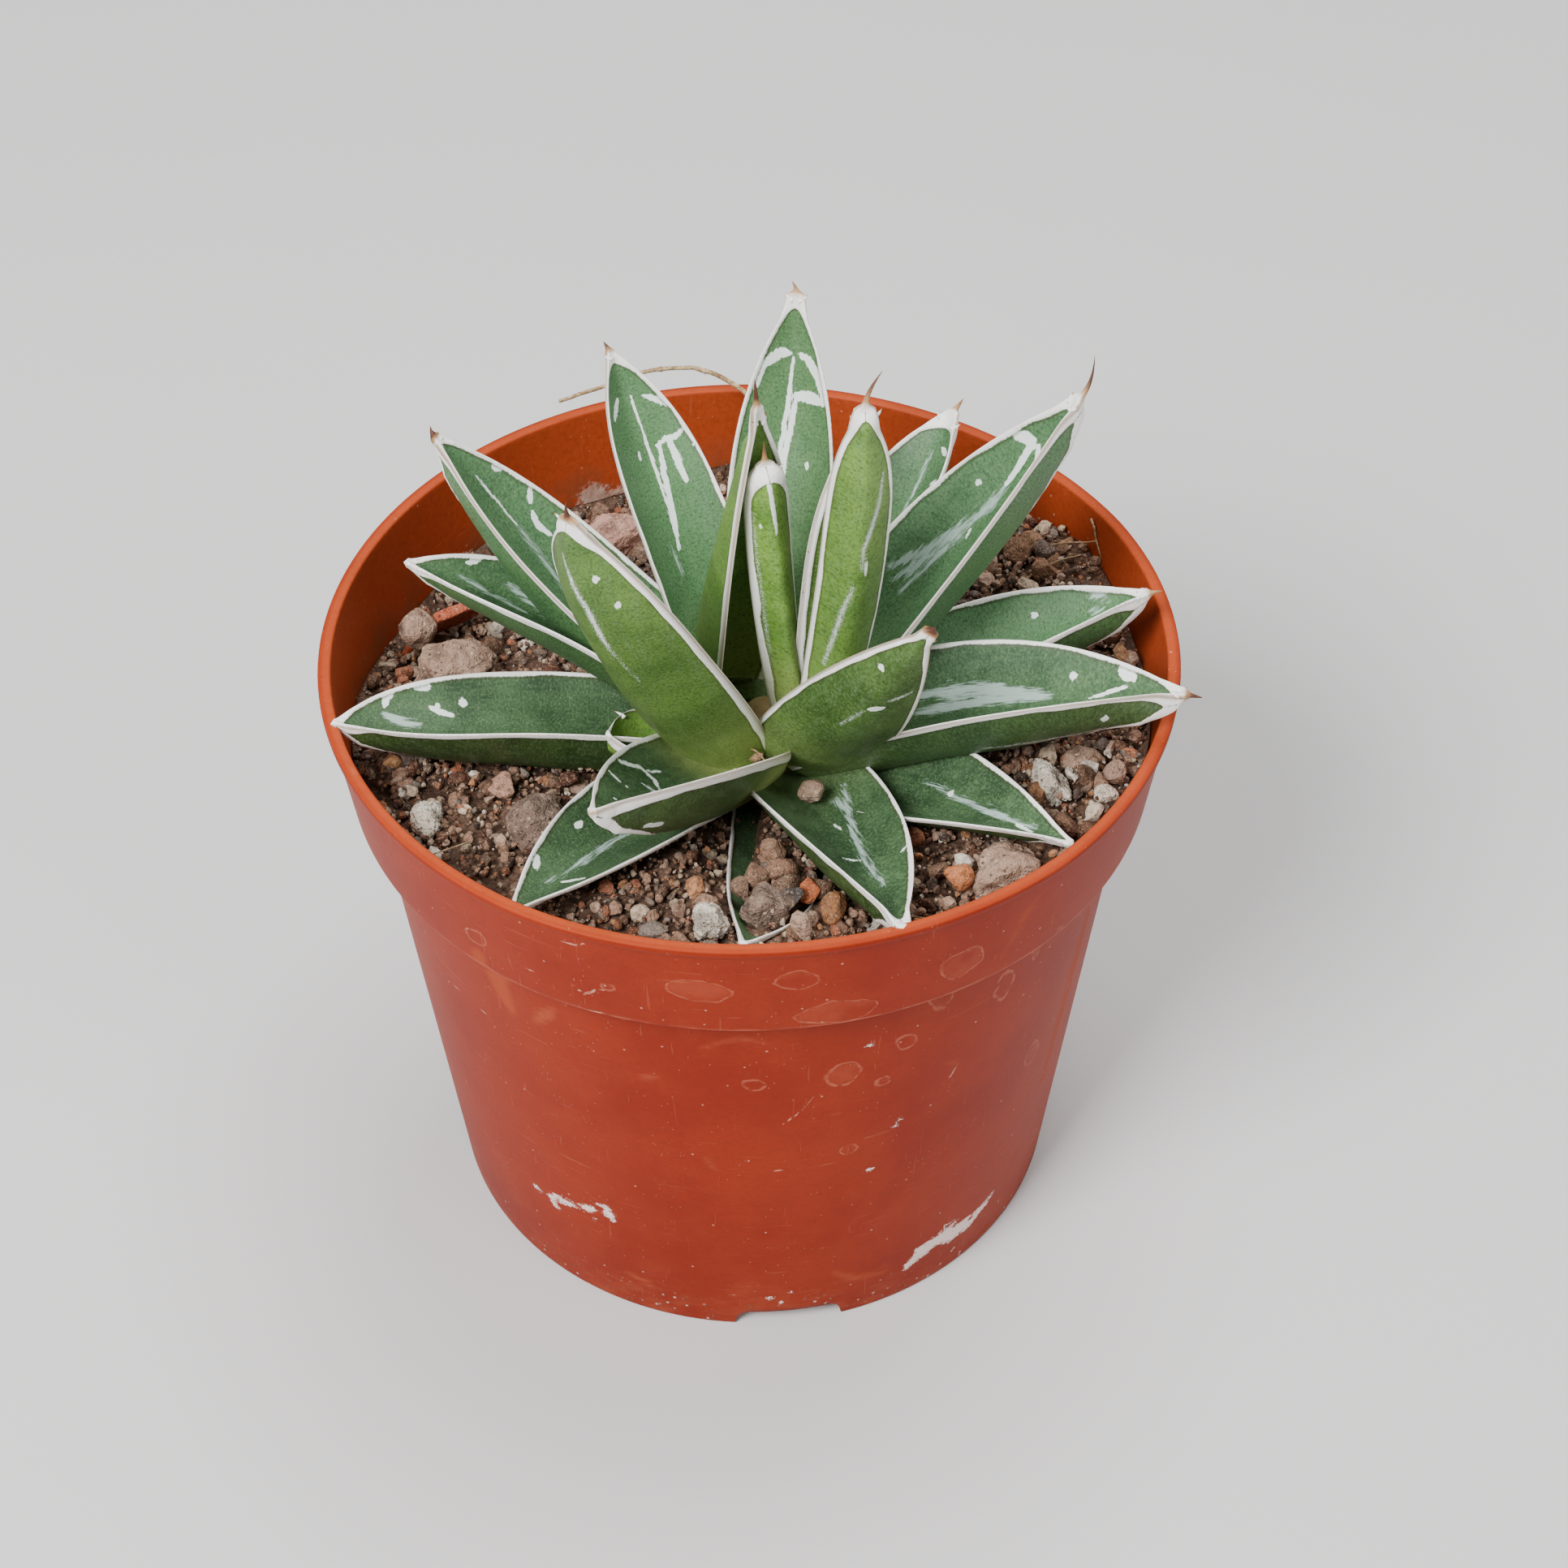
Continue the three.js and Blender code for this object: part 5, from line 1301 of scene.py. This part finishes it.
def scattered(count, smallest, largest, random, cloud):
    """Places, sizes and colours of grains on the soil: evenly over the disc, small ones likelier
    as a power of a random share, and clear of leaves, stones and the pot's wall."""
    sizes = smallest + (largest - smallest) * random.random(count) ** 2.4
    angle = random.uniform(0, 2 * np.pi, count)
    reach = np.sqrt(random.random(count)) * 58
    x, y = reach * np.cos(angle), reach * np.sin(angle)
    z = np.minimum(np.minimum(soil_height(x, y), pit_height(x, y)), under_leaves(x, y) + 0.2)
    z += sizes * random.uniform(-0.15, 0.55, count)
    z += np.where(random.random(count) < 0.3, random.random(count) * 0.9, 0)
    places = np.stack([x, y, z], -1)
    keep = reach < inner_radius(z) - sizes * 0.95 - 0.2
    keep &= clear_of(places, sizes * 0.9, cloud)
    for at, half, *_ in STONES.values():
        keep &= np.linalg.norm((places - at - RIM_UP) / (np.array(half) * 0.9), axis=1) > 1
    colours = np.array([tone(*colour)[:3] for colour in GRAIN_COLOURS])
    pick = random.choice(len(colours), count, p=GRAIN_SHARES)
    tints = colours[pick] * random.uniform(0.5, 1.0, (count, 1))
    return places[keep], sizes[keep], np.clip(tints[keep], 0, 1)


def stone_parts(at, half, turn, lumpy, finish, seed):
    """A lump: a ball whose reach is cut by random planes and roughened by layered noise, then
    stretched to its half sizes, turned about Z and put in its place."""
    random = np.random.default_rng(seed)
    unit, faces = ball(5)
    planes = random.normal(size=(14, 3))
    planes /= np.linalg.norm(planes, axis=1)[:, None]
    depth = random.uniform(0.78, 0.98, 14)
    cut = np.minimum(1, (depth / np.maximum(unit @ planes.T, 0.05)).min(1))
    largest = max(half)
    round_stone = unit * largest
    rough = lumpy * lumps(round_stone, largest * 0.7, seed)
    if finish == "pumice":
        pits = lumps(round_stone, 0.55, seed + 1)
        rough = rough - 0.10 * smooth(pits, 0.0, 0.5) + 0.05 * lumps(round_stone, 0.3, seed + 2)
    else:
        rough = rough + 0.085 * layered(round_stone, 1.7, 4, seed + 3)
    reach = cut * (1 + rough)
    points = turned(unit * reach[:, None] * half, turn) + at + RIM_UP
    return points, [faces], {"hollow": smooth(-rough, -0.02, 0.1)}


def lump_paint(name, dark, middle, light, dust, size, pits):
    """An earthy or porous lump in three tones of one colour, with painted shade that darkens its
    hollows, dust on its bumps and single pale and dark grains."""
    p = Paint(name)
    patch = p.noise(size * 3, 4, 0.65)
    grain = p.noise(size, 4, 0.7)
    fine = p.noise(0.28, 2, 0.6)
    hollow = p.value("hollow")
    cell, pick = p.cells_and_picks(0.9)
    colour = p.node("ShaderNodeValToRGB", {"stops": (
        (0.28, tone(*dark)), (0.5, tone(*middle)), (0.72, tone(*light)))},
        {0: patch * 0.5 + grain * 0.5})
    # Painted shade: the lump's geometric dents are darkened towards a deep tone of its dark colour.
    colour = p.mix(hollow * 0.55, colour, tone(*(0.55 * np.array(dark))))
    colour = p.mix(fine.rise(0.5, 0.75) * 0.5, colour, tone(*dust))
    colour = p.mix(cell.rise(0.32, 0.2) * pick.rise(0.78, 0.84) * 0.8, colour, tone(208, 184, 150))
    colour = p.mix(cell.rise(0.32, 0.2) * pick.rise(0.2, 0.14) * 0.7, colour, tone(44, 34, 30))
    height = grain * 0.9 + fine * 0.3 - p.cells(0.7).rise(0.35, 0.1) * pits
    return p.done(colour, 0.93 - fine * 0.1, height, Specular_IOR_Level=0.2)


def shard_parts():
    """The leaning shard: a slab whose outline is a rounded box with broken edges. Its rings run
    round the outline, from one face over a blunt edge to the other."""
    wide, thick, tall = SHARD["size"]
    angle = np.linspace(0, 2 * np.pi, 96, endpoint=False)
    box = 1 / np.maximum(np.abs(np.cos(angle)), np.abs(np.sin(angle)))
    reach = np.minimum(box, 1.22) * (0.94 + 0.07 * lumps(
        np.stack([3 * np.cos(angle), 3 * np.sin(angle), 0 * angle], -1), 0.9, 5))
    shares = np.array([0.06, 0.3, 0.55, 0.78, 0.92, 0.985, 1, 1, 0.985, 0.92, 0.78, 0.55, 0.3, 0.06])
    sides = np.array([1, 1, 1, 1, 1, 0.9, 0.55, -0.55, -0.9, -1, -1, -1, -1, -1])
    x = wide / 2 * reach * np.cos(angle) * shares[:, None]
    z = tall / 2 * reach * np.sin(angle) * shares[:, None]
    y = -thick / 2 * sides[:, None] + 0 * x
    points = np.stack([x, y, z], -1)
    points = points + (0.16 * layered(points, 1.6, 3, 8))[..., None] * [0.3, 1, 0.3]
    lean = math.radians(SHARD["lean"])
    cos, sin = math.cos(lean), math.sin(lean)
    points = points @ np.array([[1, 0, 0], [0, cos, sin], [0, -sin, cos]])
    return closed_skin(turned(points, SHARD["turn"]) + SHARD["at"] + RIM_UP)


def stalk_parts():
    """The dry stalk: a tube along a smooth path, thinner to its end, with small swollen knots."""
    sides = 14
    path = smooth_path(STALK_PATH, 26) + RIM_UP
    share = np.linspace(0, 1, len(path))
    path = path + 0.12 * np.stack([lumps(np.stack([share * 60, 0 * share + k, 0 * share], -1), 3, k)
                                   for k in range(3)], -1) * smooth(share, 0, 0.05)[:, None]
    knots = sum(np.exp(-((share - place) / 0.006) ** 2) for place in (0.16, 0.34, 0.52, 0.7, 0.86))
    radius = 0.42 - 0.14 * share + 0.12 * knots
    points, faces = closed_skin(tube(path, radius, sides))
    return points, faces, {"length": with_poles(np.repeat(share[:, None], sides, axis=1))}


def stalk_paint():
    """Dry straw: pale fibres with brown stains."""
    p = Paint("dry straw")
    length = p.value("length")
    fibre = p.noise(0.5, 3, 0.6, p.stretched(p.where, (900, 900, 900)))
    stain = p.noise(5, 3)
    colour = p.mix(fibre.rise(0.35, 0.7), tone(136, 108, 76), tone(196, 174, 136))
    colour = p.mix(stain.rise(0.5, 0.7) * 0.6, colour, tone(104, 70, 46))
    colour = p.mix(length.rise(0.2, 0.0) * 0.6, colour, tone(90, 60, 42))
    return p.done(colour, 0.8, fibre * 0.12, Specular_IOR_Level=0.25)


def stem_paint():
    """The short stem between the leaf bases: pale tissue with ringed dry scars."""
    p = Paint("pale stem")
    up = p.up()
    patch = p.noise(2.2, 4, 0.6)
    ring = p.node("ShaderNodeMath", {"operation": "SINE"}, {0: up * 3.2 + patch * 4})
    colour = p.mix(patch.rise(0.35, 0.65), tone(186, 176, 116), tone(150, 128, 84))
    colour = p.mix(ring.rise(0.3, 0.9) * 0.6, colour, tone(110, 76, 50))
    return p.done(colour, 0.75, patch * 0.3 + ring * 0.1, Specular_IOR_Level=0.3)


def wisps():
    """Loose roots and whiskers: (radius, path) with heights from the rim's plane. The first one
    hangs on the inner wall, and its points are headings and heights above the ground."""
    wall = [(29, 94.4), (28, 93.4), (27.4, 91.9), (26, 90), (25, 87.9), (23.5, 86)]
    on_wall = [(57.3 * math.cos(math.radians(heading)), 57.1 * math.sin(math.radians(heading)),
                z - POT["height"]) for heading, z in wall]
    return ((0.2, on_wall),
            (0.22, ((39, 20, -7.2), (42, 21.5, -5.9), (45, 22.3, -4.6), (48.6, 23.2, -4.2))),
            (0.18, ((44, 26.4, -5), (47, 25, -3.4), (50, 25.6, -3.8), (52.4, 27.6, -4.8))),
            (0.16, ((41.6, 17.4, -8.4), (44.6, 18.4, -6.6), (47.6, 17, -6.4))),
            (0.24, ((-3.8, -15.8, -4.4), (-1.6, -17.4, -3.7), (0.6, -18, -3.9), (2.2, -19.8, -4.6))),
            (0.14, ((-38, -31, -8), (-40.5, -33.5, -6.8), (-43.6, -34.4, -7.2), (-46, -33, -8.6))),
            (0.13, ((20, -46, -7.4), (23.4, -47.6, -6.4), (27, -46.6, -6.6), (29.6, -44, -7.8))))


# ------------------------------------------------------------------ settings

def colour_setting(name, description, default):
    """A colour in a settings group."""
    return bpy.props.FloatVectorProperty(name=name, description=description, default=default[:3],
                                         subtype="COLOR", size=3)


class AgaveLeafSettings(bpy.types.PropertyGroup):
    """Colours and fineness of the leaves."""
    rows: bpy.props.IntProperty(name="Rows", description="Rings along each leaf", default=150,
                                min=40, max=220)
    rim: bpy.props.FloatProperty(name="Horny edge", description="Width of the white edge on the "
                                 "upper face", default=0.00056, min=0, max=0.004, unit="LENGTH")
    upper_dark: colour_setting("Upper face, dark", "Darker green of the upper face",
                               tone(43, 69, 42))
    upper_light: colour_setting("Upper face, light", "Lighter green of the upper face",
                                tone(69, 98, 64))
    under_dark: colour_setting("Underside, dark", "Darker green of the underside",
                               tone(42, 68, 25))
    under_light: colour_setting("Underside, light", "Lighter green of the underside",
                                tone(67, 94, 41))


class AgavePotSettings(bpy.types.PropertyGroup):
    """Colour of the pot."""
    colour: colour_setting("Plastic", "Colour of the moulded plastic", (0.215, 0.0125, 0.001))
    colour_worn: colour_setting("Worn plastic", "Colour where the plastic is rubbed or faded",
                                (0.26, 0.021, 0.003))


class AgaveSoilSettings(bpy.types.PropertyGroup):
    """Amount of grit on the soil."""
    coarse: bpy.props.IntProperty(name="Coarse grains", description="Grains of 2 to 4.6 mm tried",
                                  default=1100, min=0, max=2000)
    medium: bpy.props.IntProperty(name="Medium grains", description="Grains of 1 to 2 mm tried",
                                  default=4600, min=0, max=6000)
    small: bpy.props.IntProperty(name="Fine grains", description="Grains under 1 mm tried",
                                 default=9000, min=0, max=12000)
    seed: bpy.props.IntProperty(name="Seed", description="Changes where grains lie", default=4)


class AgaveStageSettings(bpy.types.PropertyGroup):
    """The floor and the light."""
    floor: colour_setting("Floor", "Colour of the floor", (0.66, 0.655, 0.65))
    light: bpy.props.FloatProperty(name="Light", description="Strength of all lights",
                                   default=1.0, min=0)


# ------------------------------------------------------------------ the stage and the operators

def camera_place():
    """The camera's turn and place as a matrix: it starts by looking from its rise at the middle of
    the rim, and is then swung aside, upwards and round its line of sight."""
    def swing(first, second, degrees):
        """Two square directions turned in their plane."""
        cos, sin = math.cos(math.radians(degrees)), math.sin(math.radians(degrees))
        return cos * first + sin * second, cos * second - sin * first

    rise = math.radians(CAMERA["rise"])
    back = np.array([0, -math.cos(rise), math.sin(rise)])
    ahead, right = -back, np.array([1.0, 0, 0])
    upward = np.cross(right, ahead)
    ahead, right = swing(ahead, right, CAMERA["aside"])
    ahead, upward = swing(ahead, upward, CAMERA["upward"])
    right, upward = swing(right, upward, CAMERA["roll"])
    place = np.eye(4)
    place[:3] = np.column_stack([right, upward, -ahead, back * CAMERA["away"] + RIM_UP * MM])
    return place


class AGAVE_OT_stage(bpy.types.Operator):
    """Makes the floor, the soft lights and the camera at the photograph's viewing angle"""
    bl_idname = "agave.stage"
    bl_label = "Stage"

    def execute(self, context):
        settings = context.scene.agave_stage
        p = Paint("pale floor")
        cloud = p.noise(60, 3)
        colour = p.mix(cloud.rise(0.3, 0.7) * 0.06, (*settings.floor, 1), tone(200, 200, 200))
        floor_paint = p.done(colour, 0.9, Specular_IOR_Level=0.1)
        mesh = bpy.data.meshes.new("floor")
        reach = 3.0
        corners = [(x * reach, y * reach, 0) for x, y in ((-1, -1), (1, -1), (1, 1), (-1, 1))]
        mesh.from_pydata(corners, [], [(0, 1, 2, 3)])
        mesh.materials.append(floor_paint)
        floor = bpy.data.objects.new("floor", mesh)
        context.scene.collection.objects.link(floor)

        world = bpy.data.worlds.new("pale room")
        world.use_nodes = True
        sky = world.node_tree.nodes["Background"].inputs
        sky["Color"].default_value = (1, 0.99, 0.98, 1)
        sky["Strength"].default_value = 0.3 * settings.light
        context.scene.world = world
        for name, place, size, power in LAMPS:
            lamp = bpy.data.lights.new(name, "AREA")
            lamp.shape, lamp.size, lamp.energy = "SQUARE", size, power * settings.light
            item = bpy.data.objects.new(name, lamp)
            item.location = place
            back = np.array(place) - [0, 0, LAMPS_AIM]
            item.rotation_euler = (math.atan2(math.hypot(back[0], back[1]), back[2]), 0,
                                   math.atan2(back[1], back[0]) + math.pi / 2)
            context.scene.collection.objects.link(item)

        data = bpy.data.cameras.new("camera")
        data.sensor_width = CAMERA["sensor"]
        data.lens = CAMERA["sensor"] * CAMERA["focus"] / CAMERA["photo_size"]
        data.clip_start, data.clip_end = 0.02, 20
        camera = bpy.data.objects.new("camera", data)
        camera.matrix_world = Matrix(camera_place().tolist())
        context.scene.collection.objects.link(camera)
        context.scene.camera = camera
        return {"FINISHED"}


class AGAVE_OT_pot(bpy.types.Operator):
    """Makes the nursery pot with its collar, lip, foot notches and drained floor"""
    bl_idname = "agave.pot"
    bl_label = "Pot"

    def execute(self, context):
        paint = pot_paint(context.scene.agave_pot)
        points, faces, fields = pot_parts()
        new_piece("pot_wall", points, faces, paint, ["pot"], fields)
        place_mesh("pot_floor", drained_floor(), paint, ["pot"])
        return {"FINISHED"}


class AGAVE_OT_soil(bpy.types.Operator):
    """Makes the uneven body of soil"""
    bl_idname = "agave.soil"
    bl_label = "Soil"

    def execute(self, context):
        points, faces = soil_parts()
        new_piece("soil_bed", points, faces, soil_paint(), ["soil"])
        return {"FINISHED"}


class AGAVE_OT_grit(bpy.types.Operator):
    """Scatters coarse, medium and fine grit over the soil, each in two halves, and the pebbles"""
    bl_idname = "agave.grit"
    bl_label = "Grit"

    def execute(self, context):
        settings = context.scene.agave_soil
        random = np.random.default_rng(settings.seed)
        cloud = leaf_cloud()
        paint = grain_paint("loose grit")
        # Grains tried, smallest and largest radius in mm, and how often a grain's faces are split.
        kinds = (("grit_coarse", settings.coarse, 0.95, 2.3, 1),
                 ("grit_medium", settings.medium, 0.5, 1.0, 1),
                 ("grit_fine", settings.small, 0.22, 0.55, 0))
        for name, count, smallest, largest, level in kinds:
            scatter = scattered(count, smallest, largest, random, cloud)
            rear = scatter[0][:, 1] > 0
            for side, rows in (("front", ~rear), ("rear", rear)):
                part = (values[rows] for values in scatter)
                points, faces, fields = grains(*part, level, random)
                new_piece(f"{name}_{side}", points, faces, paint, [], fields, flat=True)
        places = np.array([at for at, _, _ in PEBBLES]) + RIM_UP
        cut_back = 1.12  # the random planes cut a ball down, which this makes up for
        sizes = np.array([size * cut_back for _, size, _ in PEBBLES])
        tints = np.array([tone(*colour)[:3] for _, _, colour in PEBBLES])
        points, faces, fields = grains(places, sizes, tints, 3, random)
        new_piece("pebbles", points, faces, paint, [], fields)
        return {"FINISHED"}


class AGAVE_OT_stones(bpy.types.Operator):
    """Makes the larger stones, clods and pumice pieces and the leaning pot shard"""
    bl_idname = "agave.stones"
    bl_label = "Stones"

    def execute(self, context):
        paints = {finish: lump_paint(*look) for finish, look in LUMP_LOOKS.items()}
        for seed, (name, stone) in enumerate(STONES.items(), 11):
            points, faces, fields = stone_parts(*stone, seed)
            finish = stone[-1]
            new_piece(name + "_rough", points, faces, paints[finish], [name], fields)
        points, faces = shard_parts()
        new_piece("shard_broken", points, faces, paints["shard"], ["pot_shard"],
                  {"hollow": np.zeros(len(points))})
        return {"FINISHED"}


class AGAVE_OT_stalk(bpy.types.Operator):
    """Makes the dry stalk that arches over the rim, and loose roots and whiskers"""
    bl_idname = "agave.stalk"
    bl_label = "Dry stalk"

    def execute(self, context):
        paint = stalk_paint()
        points, faces, fields = stalk_parts()
        new_piece("stalk_dry", points, faces, paint, ["dry_stalk"], fields)
        parts = []
        for radius, path in wisps():
            line = smooth_path(path, 10) + RIM_UP
            share = np.linspace(0, 1, len(line))
            points, faces = closed_skin(tube(line, radius * (1 - 0.6 * share), 8))
            # The brown of the stalk near its root.
            parts.append((points, faces, {"length": np.full(len(points), 0.12)}))
        points, faces, fields = joined(parts)
        new_piece("loose_roots", points, faces, paint, [], fields)
        return {"FINISHED"}


class AGAVE_OT_leaves(bpy.types.Operator):
    """Makes the leaves of the rosette with their white edges, teeth and spines"""
    bl_idname = "agave.leaves"
    bl_label = "Leaves"

    def execute(self, context):
        settings = context.scene.agave_leaf
        paint = skin_paint(settings)
        for name in LEAVES:
            points, faces, fields = leaf_parts(name, settings.rim * 1000, settings.rows)
            slot = "young_leaf" if name.startswith("bud") or "inner" in name else "leaf"
            new_piece(name + "_grown", points, faces, paint, [name], fields)
        return {"FINISHED"}


class AGAVE_OT_stem(bpy.types.Operator):
    """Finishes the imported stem, whose shape is kept"""
    bl_idname = "agave.stem"
    bl_label = "Stem"

    def execute(self, context):
        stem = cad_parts["stem"]
        if not stem.data.materials:
            stem.data.materials.append(None)
        stem.material_slots[0].material = stem_paint()
        return {"FINISHED"}


class AGAVE_PT_panel(bpy.types.Panel):
    """Lists the pieces of the potted agave"""
    bl_idname = "AGAVE_PT_panel"
    bl_label = "Potted agave"
    bl_space_type = "VIEW_3D"
    bl_region_type = "UI"
    bl_category = "Agave"

    def draw(self, context):
        for group in SETTINGS:
            box = self.layout.box()
            settings = getattr(context.scene, group)
            for prop in settings.bl_rna.properties:
                if prop.identifier not in {"rna_type", "name"}:
                    box.prop(settings, prop.identifier)
        for operator in OPERATORS:
            self.layout.operator(operator.bl_idname)


SETTINGS = {"agave_leaf": AgaveLeafSettings, "agave_pot": AgavePotSettings,
            "agave_soil": AgaveSoilSettings, "agave_stage": AgaveStageSettings}
OPERATORS = (AGAVE_OT_stage, AGAVE_OT_pot, AGAVE_OT_soil, AGAVE_OT_grit, AGAVE_OT_stones,
             AGAVE_OT_stalk, AGAVE_OT_stem, AGAVE_OT_leaves)


def register():
    for kind in (*SETTINGS.values(), *OPERATORS, AGAVE_PT_panel):
        bpy.utils.register_class(kind)
    for name, kind in SETTINGS.items():
        setattr(bpy.types.Scene, name, bpy.props.PointerProperty(type=kind))


def unregister():
    for name in SETTINGS:
        delattr(bpy.types.Scene, name)
    for kind in reversed((*SETTINGS.values(), *OPERATORS, AGAVE_PT_panel)):
        bpy.utils.unregister_class(kind)


def main():
    """Makes every piece in order."""
    register()
    for operator in OPERATORS:
        group, name = operator.bl_idname.split(".")
        getattr(getattr(bpy.ops, group), name)()


if __name__ == "__main__":
    main()
